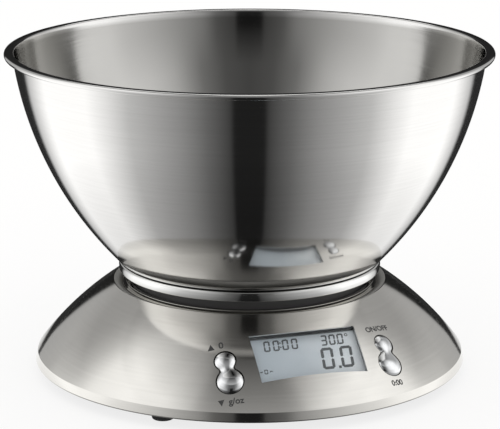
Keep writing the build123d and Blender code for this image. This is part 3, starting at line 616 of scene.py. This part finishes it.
# frame that touches the dome over a place in plan; its Y axis climbs the slope along a way in plan
def domeFrame(x, y, uphill=(0, 1, 0)):
    radius = math.hypot(x, y)
    slope = math.asin((radius - domeCentre.x) / coverSizes.domeArc)
    normal = Vector((math.sin(slope) * x / radius, math.sin(slope) * y / radius, math.cos(slope)))
    up = Vector(uphill)
    up = (up - normal * normal.dot(up)).normalized()
    side = up.cross(normal)
    place = Vector((x, y, domeHeight(radius)))
    turnTo = Matrix((side, up, normal)).transposed().to_4x4()
    return Matrix.Translation(place * mm) @ turnTo


def coverOutline(s):
    lip = s.collar - s.skin
    lipTop = (lip, s.collarHeight)
    lipEdge = (s.lipOuter, s.collarHeight)
    lipBottom = s.collarHeight - s.collarLip
    groove = s.collarHeight - s.grooveDeep
    grooveOut = (s.lipOuter + s.grooveWide, groove)
    shoulder = (s.shoulder, s.collarHeight)
    edge = (s.edge, s.edgeHeight)
    low = (s.radius, s.bottom)
    innerEdgeR = s.edge - s.skin
    innerEdge = (innerEdgeR, domeHeight(innerEdgeR, s.skin))
    innerArc = s.domeArc - s.skin
    under = s.collarHeight - s.skin
    innerShoulder = (domeCentre.x + math.sqrt(innerArc ** 2 - (under - domeCentre.y) ** 2), under)
    outline = joined(
        between((lip, lipBottom), lipTop, 4),
        between(lipTop, lipEdge, 3),
        between(lipEdge, (s.lipOuter, groove), 3),
        between((s.lipOuter, groove), grooveOut, 2),
        between(grooveOut, shoulder, 4),
        arcAbout(domeCentre, shoulder, edge, 40),
        between(edge, low, 6),
        between((s.radius - s.skin, s.bottom), innerEdge, 4),
        arcAbout(domeCentre, innerEdge, innerShoulder, 24),
        between(innerShoulder, (grooveOut[0] + s.skin / 4, groove - s.skin), 3),
        between((s.collar, groove - s.skin), (s.collar, lipBottom), 2),
    )
    return roundCorners(
        outline, (lipTop, s.collarRound, 8), (lipEdge, s.lipRound, 5),
        (shoulder, s.shoulderRound, 5), (low, s.lowRound, 5), (edge, s.bandRound, 8),
    )


# Rocker buttons: two unequal lobes with a waist
rockerSizes = SimpleNamespace(
    upper=4.6, lower=5.8, waist=3.1, waistArc=1.5, gap=0.24,
    depth=2.4, sink=1.1, upperCrown=1.4, lowerCrown=1.7, waistCrown=1.0,
    x=35.95, radius=82.8,
    turn=13.1,  # degrees, the lower lobes away from the window
    cut=(-5, 5),
    stations=56, across=28,
)


def rockerShape(s, grow=0.0):
    upper, lower, arc = s.upper + grow, s.lower + grow, s.waistArc - grow
    middle = s.waist + s.waistArc
    upperY = math.sqrt((s.upper + s.waistArc) ** 2 - middle ** 2)
    lowerY = -math.sqrt((s.lower + s.waistArc) ** 2 - middle ** 2)

    def halfWidth(y):
        lobe, lobeY = (upper, upperY) if y > 0 else (lower, lowerY)
        if abs(y) < abs(lobeY) * arc / (lobe + arc):
            return middle - math.sqrt(arc ** 2 - y ** 2)
        return math.sqrt(max(lobe ** 2 - (y - lobeY) ** 2, 0))

    return halfWidth, lowerY - lower, upperY + upper, lowerY, upperY


def rockerStations(s, grow=0.0):
    halfWidth, low, high, _, _ = rockerShape(s, grow)
    middle, half = (low + high) / 2, (high - low) / 2
    ys = [middle - half * math.cos(math.pi * i / s.stations) for i in range(s.stations + 1)]
    return [(y, halfWidth(y)) for y in ys]


def rockerRing(s, grow):
    stations = rockerStations(s, grow)
    return [(w, y) for y, w in stations] + [(-w, y) for y, w in reversed(stations[1:-1])]


# the window's upper edge is bowed, so that it looks straight from above
def windowRing(s, steps=16):
    half = s.windowWide / 2
    foot = -s.windowHigh / 2
    xs = [half * (1 - 2 * i / steps) for i in range(steps + 1)]
    return [(-half, foot), (half, foot)] + [(x, -foot - s.windowDip * (1 - (x / half) ** 2)) for x in xs]


# closed prism over an outline
def prismMesh(name, ring, low, high, unit=mm):
    shape = bmesh.new()
    bottom = [shape.verts.new((x * unit, y * unit, low * unit)) for x, y in ring]
    top = [shape.verts.new((x * unit, y * unit, high * unit)) for x, y in ring]
    shape.faces.new(bottom)
    shape.faces.new(top)
    bridge(shape, bottom, top, len(ring), smooth=False)
    return toMesh(shape, name)


rockerY = -math.sqrt(rockerSizes.radius ** 2 - rockerSizes.x ** 2)
rockerUp = Vector((0, 1, 0))
rockerUp.rotate(Matrix.Rotation(math.radians(rockerSizes.turn), 3, "Z"))
rockerFrames = {
    "right": domeFrame(rockerSizes.x, rockerY, rockerUp),
    "left": domeFrame(-rockerSizes.x, rockerY, (-rockerUp.x, rockerUp.y, 0)),
}
displayFrame = domeFrame(0, -(coverSizes.edge - coverSizes.windowInset))


# block with rounded upright corners, in its own frame
def roundedBlock(name, wide, high, low, top, corner):
    shape = bmesh.new()
    bmesh.ops.create_cube(shape, size=1.0)
    bmesh.ops.scale(shape, verts=shape.verts, vec=(wide * mm, high * mm, (top - low) * mm))
    bmesh.ops.translate(shape, verts=shape.verts, vec=(0, 0, (top + low) / 2 * mm))
    upright = [e for e in shape.edges if abs(e.verts[0].co.z - e.verts[1].co.z) > 1e-6]
    bmesh.ops.bevel(shape, geom=upright, offset=corner * mm, segments=5, profile=0.5, affect="EDGES")
    return toMesh(shape, name)


coverMesh = spinMesh("cover_drawn", coverOutline(coverSizes), coverSizes.steps)
cover = newPiece("cover_drawn", coverMesh, coverSteel)
holes = {"window": (windowRing(coverSizes), coverSizes.windowCut, displayFrame)}
for side, place in rockerFrames.items():
    holes[side] = (rockerRing(rockerSizes, rockerSizes.gap), rockerSizes.cut, place)
cutters = []
for name, (ring, (low, high), place) in holes.items():
    cutter = newPiece(name + "Cutter", prismMesh(name + "Cutter", ring, low, high))
    cutter.data.transform(place)
    cutters.append(cutter)
coverMesh = cutMesh(cover, cutters)
cover.data = coverMesh
coverMesh.name = "cover_drawn"


# the dome's own normals, so that cut edges don't disturb its reflections
def domeNormals(mesh):
    mesh.set_sharp_from_angle(angle=math.radians(30))
    corners = []
    for face in mesh.polygons:
        for vertex in face.vertices:
            point = mesh.vertices[vertex].co / mm
            ring = point.xy.normalized() * domeCentre.x
            away = point - Vector((ring.x, ring.y, domeCentre.y))
            onDome = abs(away.length - coverSizes.domeArc) < 0.05
            away.normalize()
            corners.append(away if onDome and face.normal.dot(away) > 0.97 else (0, 0, 0))
    mesh.normals_split_custom_set(corners)


for face in coverMesh.polygons:
    face.use_smooth = True
domeNormals(coverMesh)
# painted shade: the collar's lip, under the platform, takes a darker colour
lipReach = (coverSizes.lipOuter + 0.01) * mm
markPaintedShade(coverMesh, lambda v: v.co.xy.length < lipReach)
settle(cover, "base", "cover_steel", "base_cover")
# Blasted steel: the dull slope of the groove round the collar
blastedSteel = grained("blastedSteel", "#8a8986", "#969591", 0.6, 0.7, 0.1, 0.3)
grooveEnd = coverSizes.lipOuter + coverSizes.grooveWide
slopeIn = grooveEnd + coverSizes.slopeGap
slopeOut = coverSizes.shoulder - coverSizes.slopeShort
slopeRise = coverSizes.grooveDeep / (coverSizes.shoulder - grooveEnd)
slopeLow = coverSizes.collarHeight - coverSizes.grooveDeep + coverSizes.slopeLift
slopeHigh = slopeLow + (slopeOut - slopeIn) * slopeRise
slopeMesh = thinRing("collar_slope", (slopeIn, slopeLow), (slopeOut, slopeHigh), coverSizes.slopeThick)
settle(newPiece("collar_slope", slopeMesh, blastedSteel), "base", "cover_steel")
print("base cover:", len(coverMesh.polygons), "faces")


# pillow top on a skirt
def rockerMesh(name, s):
    stations = rockerStations(s)
    _, _, _, lowerY, upperY = rockerShape(s)
    shape = bmesh.new()

    # height of the top's ridge; past the middle of a lobe it falls as an ellipse does
    def ridge(y, w):
        t = min(max((y - lowerY) / (upperY - lowerY), 0), 1)
        lobes = s.lowerCrown + (s.upperCrown - s.lowerCrown) * t
        saddle = (lobes - s.waistCrown) * math.sin(math.pi * t) ** 2
        end = w / s.upper if y > upperY else w / s.lower if y < lowerY else 1
        return (lobes - saddle + s.sink) * end

    rows = []
    for y, w in stations:
        if w < 1e-4:
            rows.append([shape.verts.new((0, y * mm, -s.sink * mm))])
            continue
        row = []
        for k in range(s.across + 1):
            across = math.sin(math.pi * (k / s.across - 0.5))
            z = -s.sink + ridge(y, w) * math.sqrt(max(1 - across ** 2, 0))
            row.append(shape.verts.new((across * w * mm, y * mm, z * mm)))
        rows.append(row)
    for a, b in zip(rows, rows[1:]):
        bridge(shape, a, b, s.across)
    rim = [row[-1] for row in rows] + [row[0] for row in reversed(rows[1:-1])]
    foot = [shape.verts.new((v.co.x, v.co.y, -s.depth * mm)) for v in rim]
    bridge(shape, rim, foot, len(rim))
    shape.faces.new(foot)
    mesh = toMesh(shape, name)
    mesh.set_sharp_from_angle(angle=math.radians(50))
    return mesh


for side, place in rockerFrames.items():
    mesh = rockerMesh(side + "_rocker_chromed", rockerSizes)
    mesh.transform(place)
    rocker = newPiece(side + "_rocker_chromed", mesh, chromePlate)
    settle(rocker, side + "_rocker", "rocker_chrome", side + "_rocker")
print("rockers: two")

# Display: lens, glass and the bars of its numbers
displaySizes = SimpleNamespace(
    lensTop=-4.8,
    lensLow=-5.85,
    glassTop=-6.0,
    plateWide=48.6,
    plateHigh=24.8,
    lean=0.11,  # the bars lean to the right, as a share of their height
    barLift=0.05,
    shade=(10.7, 11.1),  # heights on the window where its shaded upper edge starts
    shadeColour="#34373a",
    haze=8.0,  # size of the uneven gloss on the lens
    glareClouds=14.0,  # and of the pale clouds in the painted glare on the glass
    glareSide=(-20, 24),  # painted glare pales the glass across these places
)


# painted shade: darkens a colour along the window's upper edge, where the recess shades it
def shadeUpper(tree, colour):
    up = displayFrame.col[1].to_3d()
    middle = up.dot(displayFrame.translation)
    start, end = displaySizes.shade
    reach = addNode(tree, "ShaderNodeVectorMath", {0: objectPlace(tree), 1: up}, operation="DOT_PRODUCT")
    share = rangeOf(tree, reach.outputs["Value"], middle + start * mm, middle + end * mm)
    return mixOf(tree, share, colour, linear(displaySizes.shadeColour))


# Clear acrylic: an even faint tint and a sharp gloss
lensMaterial, lensTree = newMaterial("clearAcrylic")
lensHaze = noiseOf(lensTree, displaySizes.haze)
principled(lensTree, {
    "Base Color": linear("#f2f6f7"), "IOR": 1.49, "Alpha": 0.05,
    "Roughness": rangeOf(lensTree, lensHaze, 0, 1, 0.02, 0.06),
})
lensMesh = roundedBlock("lens_clear", displaySizes.plateWide, displaySizes.plateHigh,
                        displaySizes.lensLow, displaySizes.lensTop, 0.4)
lensMesh.transform(displayFrame)
settle(newPiece("lens_clear", lensMesh, lensMaterial), "base", "lens_acrylic", "display_lens")

# Display glass: pale blue-grey, with painted glare that lightens it towards its right end, and painted
# shade along its upper edge
glassMaterial, glassTree = newMaterial("displayGlass")
glassParts = addNode(glassTree, "ShaderNodeSeparateXYZ", {"Vector": objectPlace(glassTree)})
glareStart, glareEnd = displaySizes.glareSide
glareShare = rangeOf(glassTree, glassParts.outputs["X"], glareStart * mm, glareEnd * mm,
                     interpolation_type="SMOOTHSTEP")
glareMix = mathOf(glassTree, "MULTIPLY", noiseOf(glassTree, displaySizes.glareClouds), glareShare)
# painted glare: the pale colour that the clouds bring in
glassColour = mixOf(glassTree, glareMix, linear("#adb8c0"), linear("#f0f4f6"))
principled(glassTree, {"Base Color": shadeUpper(glassTree, glassColour), "Roughness": 0.35})
# Liquid crystal: dark slate
barMaterial = grained("liquidCrystalSlate", "#23282c", "#2c3236", 0.8, 0.4, 0.0)


# spreads a form over places by Geometry Nodes; each place has its own turn and size
def spreadTree():
    tree = bpy.data.node_groups.new("spreadForms", "GeometryNodeTree")
    sockets = {}
    for name, kind in (("Places", "NodeSocketGeometry"), ("Form", "NodeSocketObject"),
                       ("Finish", "NodeSocketMaterial"), ("Size", "NodeSocketFloat")):
        sockets[name] = tree.interface.new_socket(name, in_out="INPUT", socket_type=kind).identifier
    tree.interface.new_socket("Pieces", in_out="OUTPUT", socket_type="NodeSocketGeometry")
    start = addNode(tree, "NodeGroupInput")
    form = addNode(tree, "GeometryNodeObjectInfo", {"Object": start.outputs["Form"]})
    turns = addNode(tree, "GeometryNodeInputNamedAttribute", {"Name": "turn"}, data_type="FLOAT_VECTOR")
    sizes = addNode(tree, "GeometryNodeInputNamedAttribute", {"Name": "size"}, data_type="FLOAT_VECTOR")
    scaled = addNode(tree, "ShaderNodeVectorMath", {
        0: sizes.outputs["Attribute"], "Scale": start.outputs["Size"],
    }, operation="SCALE")
    spread = addNode(tree, "GeometryNodeInstanceOnPoints", {
        "Points": start.outputs["Places"], "Instance": form.outputs["Geometry"],
        "Rotation": turns.outputs["Attribute"], "Scale": scaled.outputs["Vector"],
    })
    whole = addNode(tree, "GeometryNodeRealizeInstances", {"Geometry": spread.outputs["Instances"]})
    done = addNode(tree, "GeometryNodeSetMaterial", {
        "Geometry": whole.outputs["Geometry"], "Material": start.outputs["Finish"],
    })
    addNode(tree, "NodeGroupOutput", {"Pieces": done.outputs["Geometry"]})
    return tree, sockets


spreadNodes, spreadSockets = spreadTree()


def spreadMesh(name, formMesh, places, material, turns=None, sizes=None):
    count = len(places)
    pointMesh = bpy.data.meshes.new(name + "Places")
    pointMesh.from_pydata([Vector(p) * mm for p in places], [], [])
    for key, values in (("turn", turns or [(0, 0, 0)] * count), ("size", sizes or [(1, 1, 1)] * count)):
        attribute = pointMesh.attributes.new(key, "FLOAT_VECTOR", "POINT")
        attribute.data.foreach_set("vector", [c for v in values for c in v])
    points = newPiece(name + "Places", pointMesh)
    form = newPiece(name + "Form", formMesh)
    spread = points.modifiers.new("spread", "NODES")
    spread.node_group = spreadNodes
    spread[spreadSockets["Form"]] = form
    spread[spreadSockets["Finish"]] = material
    spread[spreadSockets["Size"]] = 1.0
    mesh = bakeMesh(points)
    mesh.name = name
    points.modifiers.clear()
    bpy.data.objects.remove(points)
    bpy.data.objects.remove(form)
    return mesh


# six-cornered bar, one unit long, wide and thick
mitre = 0.1
barRing = [
    (-0.5, 0), (-0.5 + mitre, -0.5), (0.5 - mitre, -0.5),
    (0.5, 0), (0.5 - mitre, 0.5), (-0.5 + mitre, 0.5),
]
barForm = prismMesh("barForm", barRing, 0, 1, 1)

# groups of numbers on the display: text, left edge, foot, each digit's width, height and stroke, and pitch
numberGroups = [
    ("00", -17.33, 4.72, 2.9, 5.2, 0.75, 4.14),
    ("00", -9.05, 4.72, 2.9, 5.2, 0.75, 4.14),
    ("300", 8.45, 4.86, 2.9, 5.15, 0.75, 3.7),
    ("00", 6.47, -6.67, 5.6, 10.5, 1.3, 8.6),
    ("0", -20.2, -5.9, 1.7, 2.3, 0.5, 2.0),
]
# dots and marks: place, width, height and turn in degrees
numberMarks = [
    (-9.7, 8.4, 0.7, 0.7, 0), (-9.9, 6.3, 0.7, 0.7, 0),  # colon
    (15.45, 5.1, 0.5, 0.5, 0), (13.65, -6.1, 1.3, 1.3, 0),  # points
    (20.3, 9.65, 1.1, 0.35, 0), (20.3, 8.6, 1.1, 0.35, 0),  # degree sign
    (19.8, 9.1, 1.1, 0.35, 90), (20.9, 9.1, 1.1, 0.35, 90),
    (-21.6, -4.75, 1.4, 0.4, 0), (-21.2, -4.75, 1.0, 0.4, 60),  # zero sign
    (-17.0, -4.75, 1.4, 0.4, 0), (-17.4, -4.75, 1.0, 0.4, 60),
]
digitBars = {"0": "abcdef", "3": "abcdg"}


def numberBars():
    places, turns, sizes = [], [], []

    def add(x, y, long, thick, degrees, middle):
        places.append((x - displaySizes.lean * middle, y, displaySizes.glassTop))
        turns.append((0, 0, math.radians(degrees)))
        sizes.append((long * mm, thick * mm, displaySizes.barLift * mm))

    for text, start, foot, wide, high, thick, pitch in numberGroups:
        middle = foot + high / 2
        flatLong = wide - thick * 0.75
        upLong = high / 2 - thick * 0.55
        left, right = thick / 2, wide - thick / 2
        low, top = foot + thick / 2, foot + high - thick / 2
        upper = middle + high / 4 - thick / 8
        lower = middle - high / 4 + thick / 8
        shapes = {
            "a": (wide / 2, top, flatLong, 0),
            "b": (right, upper, upLong, 90),
            "c": (right, lower, upLong, 90),
            "d": (wide / 2, low, flatLong, 0),
            "e": (left, lower, upLong, 90),
            "f": (left, upper, upLong, 90),
            "g": (wide / 2, middle, flatLong, 0),
        }
        for i, digit in enumerate(text):
            for bar in digitBars[digit]:
                x, y, long, degrees = shapes[bar]
                add(start + pitch * i + x, y, long, thick, degrees, middle)
    for x, y, long, thick, degrees in numberMarks:
        add(x, y, long, thick, degrees, y)
    mesh = spreadMesh("display_numbers", barForm, places, barMaterial, turns, sizes)
    lean = Matrix.Identity(4)
    lean[0][1] = displaySizes.lean
    mesh.transform(lean)
    mesh.transform(displayFrame)
    return mesh


numbers = settle(newPiece("display_numbers", numberBars()), "base", "lcd_glass")
# liquid crystal pales from high above, where the bowl mirrors it; lying in the glass, it casts no shadow
hideFrom(numbers, "glossy", "diffuse", "shadow")
print("display:", len(numbers.data.polygons), "faces in its numbers")

# Printed marks beside the buttons, in plain generic signs
# Screen-printed ink: flat dark grey without gloss
inkPrint = grained("darkInkPrint", "#323232", "#3c3c3c", 0.6, 0.6, 0.0)
# text, place in plan, way of its line in degrees, height, and 1 or -1 for a triangle up or down before it
labels = {
    "label_power": ("ON/OFF", 35.0, -65.5, 21, 2.5, 0),
    "label_timer": ("0:00", 36.9, -84.8, 19, 2.5, 0),
    "label_zero": ("0", -35.6, -65.6, -17, 3.0, 1),
    "label_unit": ("g/oz", -35.5, -85.3, -17, 2.7, -1),
}
labelSizes = SimpleNamespace(
    lift=0.03,
    swell=0.1,  # thickens the strokes
    fontPerHeight=1.4,
    arrowShift=1.6,  # of the height, left of the text
    longest=1.5,  # longer edges are divided, so that they follow the dome
)


def labelMesh(name, text, x, y, degrees, high, arrow):
    curve = bpy.data.curves.new(name, "FONT")
    curve.body = text
    curve.size = high * mm * labelSizes.fontPerHeight
    curve.offset = labelSizes.swell * mm
    curve.align_x = "CENTER"
    curve.align_y = "CENTER"
    words = newPiece(name + "Text", curve)
    mesh = bakeMesh(words)
    bpy.data.objects.remove(words)
    shape = bmesh.new()
    shape.from_mesh(mesh)
    if arrow:
        left = min(v.co.x for v in shape.verts) - labelSizes.arrowShift * high * mm
        tall = 0.5 * high * mm * arrow
        shape.faces.new([shape.verts.new((left + dx * high * mm, dy, 0)) for dx, dy in
                         ((0, -tall), (1.0, -tall), (0.5, tall))])
    longEdges = [e for e in shape.edges if e.calc_length() > labelSizes.longest * mm]
    bmesh.ops.subdivide_edges(shape, edges=longEdges, cuts=2)
    bmesh.ops.triangulate(shape, faces=shape.faces)
    line = Vector((math.cos(math.radians(degrees)), math.sin(math.radians(degrees)), 0))
    place = domeFrame(x, y, line.cross(Vector((0, 0, -1))))
    for v in shape.verts:
        spot = place @ v.co
        away = Vector((spot.x, spot.y)).length / mm
        v.co = Vector((spot.x, spot.y, (domeHeight(away) + labelSizes.lift) * mm))
    bmesh.ops.recalc_face_normals(shape, faces=shape.faces)
    for face in shape.faces:
        if face.normal.z < 0:
            face.normal_flip()
    shape.to_mesh(mesh)
    shape.free()
    mesh.name = name
    return mesh


for name, label in labels.items():
    settle(newPiece(name, labelMesh(name, *label), inkPrint), "base", "cover_steel")
print("labels:", len(labels))

# Feet: four turned rubber pads
footSizes = SimpleNamespace(top=5.8, low=4.6, seat=5.5, high=6.3, round=0.8, circle=84.0)
footOutline = [Vector(p) for p in (
    (0, 0), (footSizes.low, 0), (footSizes.top, footSizes.seat),
    (footSizes.top, footSizes.high), (0, footSizes.high),
)]
footOutline = roundCorners(footOutline, ((footSizes.low, 0), footSizes.round, 6))
footForm = spinMesh("footForm", footOutline, 40)
footForm.set_sharp_from_angle(angle=math.radians(40))
footReach = footSizes.circle / math.sqrt(2)
footPlaces = [(x * footReach, y * footReach, 0) for x in (-1, 1) for y in (-1, 1)]
feet = newPiece("rubber_feet", spreadMesh("rubber_feet", footForm, footPlaces, footRubber))
settle(feet, "base", "foot_rubber", "feet")


# Screws of the underside: pan heads with a cross recess
screwSizes = SimpleNamespace(
    pitch=0.8,
    core=0.8,  # of the shank's radius, between the threads
    edgeWide=0.5,  # bevel of the head
    edgeHigh=0.6,
    crossLong=1.1,  # of the head's radius
    crossWide=0.26,
    crossDeep=0.55,  # of the head's height
    crossCorner=0.05,
)


def screwMesh(name, head, shank, headHigh, length):
    s = screwSizes
    core = shank * s.core
    outline = [Vector(p) for p in (
        (0, 0), (head - s.edgeWide, 0), (head, s.edgeHigh), (head, headHigh), (shank, headHigh),
    )]
    for i in range(int((length - 1) / s.pitch)):
        level = headHigh + s.pitch * i
        outline += [Vector((shank, level + s.pitch * 0.5)), Vector((core, level + s.pitch))]
    outline += [Vector((core, headHigh + length)), Vector((0, headHigh + length))]
    body = newPiece(name + "Body", spinMesh(name, outline, 28))
    long, thin, deep = head * s.crossLong, head * s.crossWide, headHigh * s.crossDeep
    blades = []
    for wide, high in ((long, thin), (thin, long)):
        block = roundedBlock(name + "Blade", wide, high, -1, deep, high * s.crossCorner)
        blades.append(newPiece(name + "Blade", block))
    mesh = cutMesh(body, blades)
    bpy.data.objects.remove(body)
    mesh.set_sharp_from_angle(angle=math.radians(35))
    return mesh


underScrews = {
    "cover_screws": {"head": 2.9, "shank": 1.25, "headHigh": 2.0,
                     "places": [(70 * math.sin(math.radians(a)), -70 * math.cos(math.radians(a)))
                                for a in (-65, 65, -150, 150)]},
    "load_cell_screws": {"head": 3.5, "shank": 2.0, "headHigh": 2.6, "places": [(-33, 0), (-20, 0)]},
}
for node, s in underScrews.items():
    low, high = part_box(node)
    length = (high.z - low.z) / mm - s["headHigh"]
    form = screwMesh(node + "Form", s["head"], s["shank"], s["headHigh"], length)
    places = [(x, y, low.z / mm) for x, y in s["places"]]
    screws = newPiece(node + "_cross", spreadMesh(node + "_cross", form, places, zincSteel))
    settle(screws, "base", "screw_steel", node)
print("feet and screws")

# Finishes of the other CAD pieces
# ABS in mid grey, with painted shade at the window's upper edge
bezelMaterial = grained("greyAbs", "#707173", "#7e7f81", 0.5, 0.5)
bezelTree = bezelMaterial.node_tree
bezelShader = next(n for n in bezelTree.nodes if n.type == "BSDF_PRINCIPLED")
bezelPlain = bezelShader.inputs["Base Color"].links[0].from_socket
bezelTree.links.new(shadeUpper(bezelTree, bezelPlain), bezelShader.inputs["Base Color"])
innerFinishes = {
    charcoalAbs: ["upper_housing", "chassis", "battery_door"],
    # moulded ABS with painted light: a lighter copy of the charcoal for the neck under the bowl
    grained("charcoalAbsPaintedLight", "#3b3a3a", "#474646", 0.5, 0.5): ["platform_carrier"],
    bezelMaterial: ["display_bezel"],
    glassMaterial: ["lcd_panel"],
    zincSteel: [
        "tray_screws", "platform_screws", "board_screws", "left_rocker_pin", "right_rocker_pin",
        "left_switch_screws", "right_switch_screws"],
    # glass laminate under solder mask: green and half glossy
    grained("greenSolderMask", "#0f4a28", "#17613a", 1.5, 0.35): [
        "main_board", "left_switch_board", "right_switch_board"],
    # epoxy, poured or moulded: black with a soft gloss
    grained("blackEpoxy", "#141415", "#1f1f20", 0.8, 0.4): [
        "controller_chip", "thermistor", "left_tact_switches", "right_tact_switches"],
    # aluminium, milled: pale and satin
    grained("milledAluminium", "#b4b6b9", "#cdcfd2", 0.5, 0.35, 0.05, 1.0): ["load_cell"],
    # silicone and rubber: dull, and uneven where they were spread or cut
    grained("whiteSilicone", "#d8d8d0", "#e8e8e2", 1.2, 0.6): ["strain_gauges"],
    grained("greyContactRubber", "#2b2b2d", "#3a3a3c", 0.6, 0.7): ["zebra_strip"],
    # printed film shrunk on the cells: slate grey, half glossy
    grained("printedCellSleeve", "#3d4044", "#4c5055", 2.0, 0.35): ["batteries"],
    # nickel plate and rolled brass: bright, and warmer than the steel
    grained("nickelPlate", "#b8b3a6", "#ccc8bd", 0.6, 0.25, 0.05, 1.0): [
        "battery_terminals", "battery_bridge"],
    grained("brightBrass", "#c9a856", "#dbbd6e", 0.8, 0.25, 0.05, 1.0): ["buzzer"],
    # vinyl, extruded: soft sheen
    grained("greyVinyl", "#6d6e70", "#808184", 0.8, 0.5): ["load_cell_cable"],
    grained("redVinyl", "#7d1a14", "#93241c", 0.8, 0.5): [
        "battery_lead", "buzzer_lead", "left_switch_lead", "right_switch_lead"],
}
for material, nodes in innerFinishes.items():
    for node in nodes:
        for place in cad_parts[node].material_slots:
            place.material = material
print("finishes: carried-over pieces")
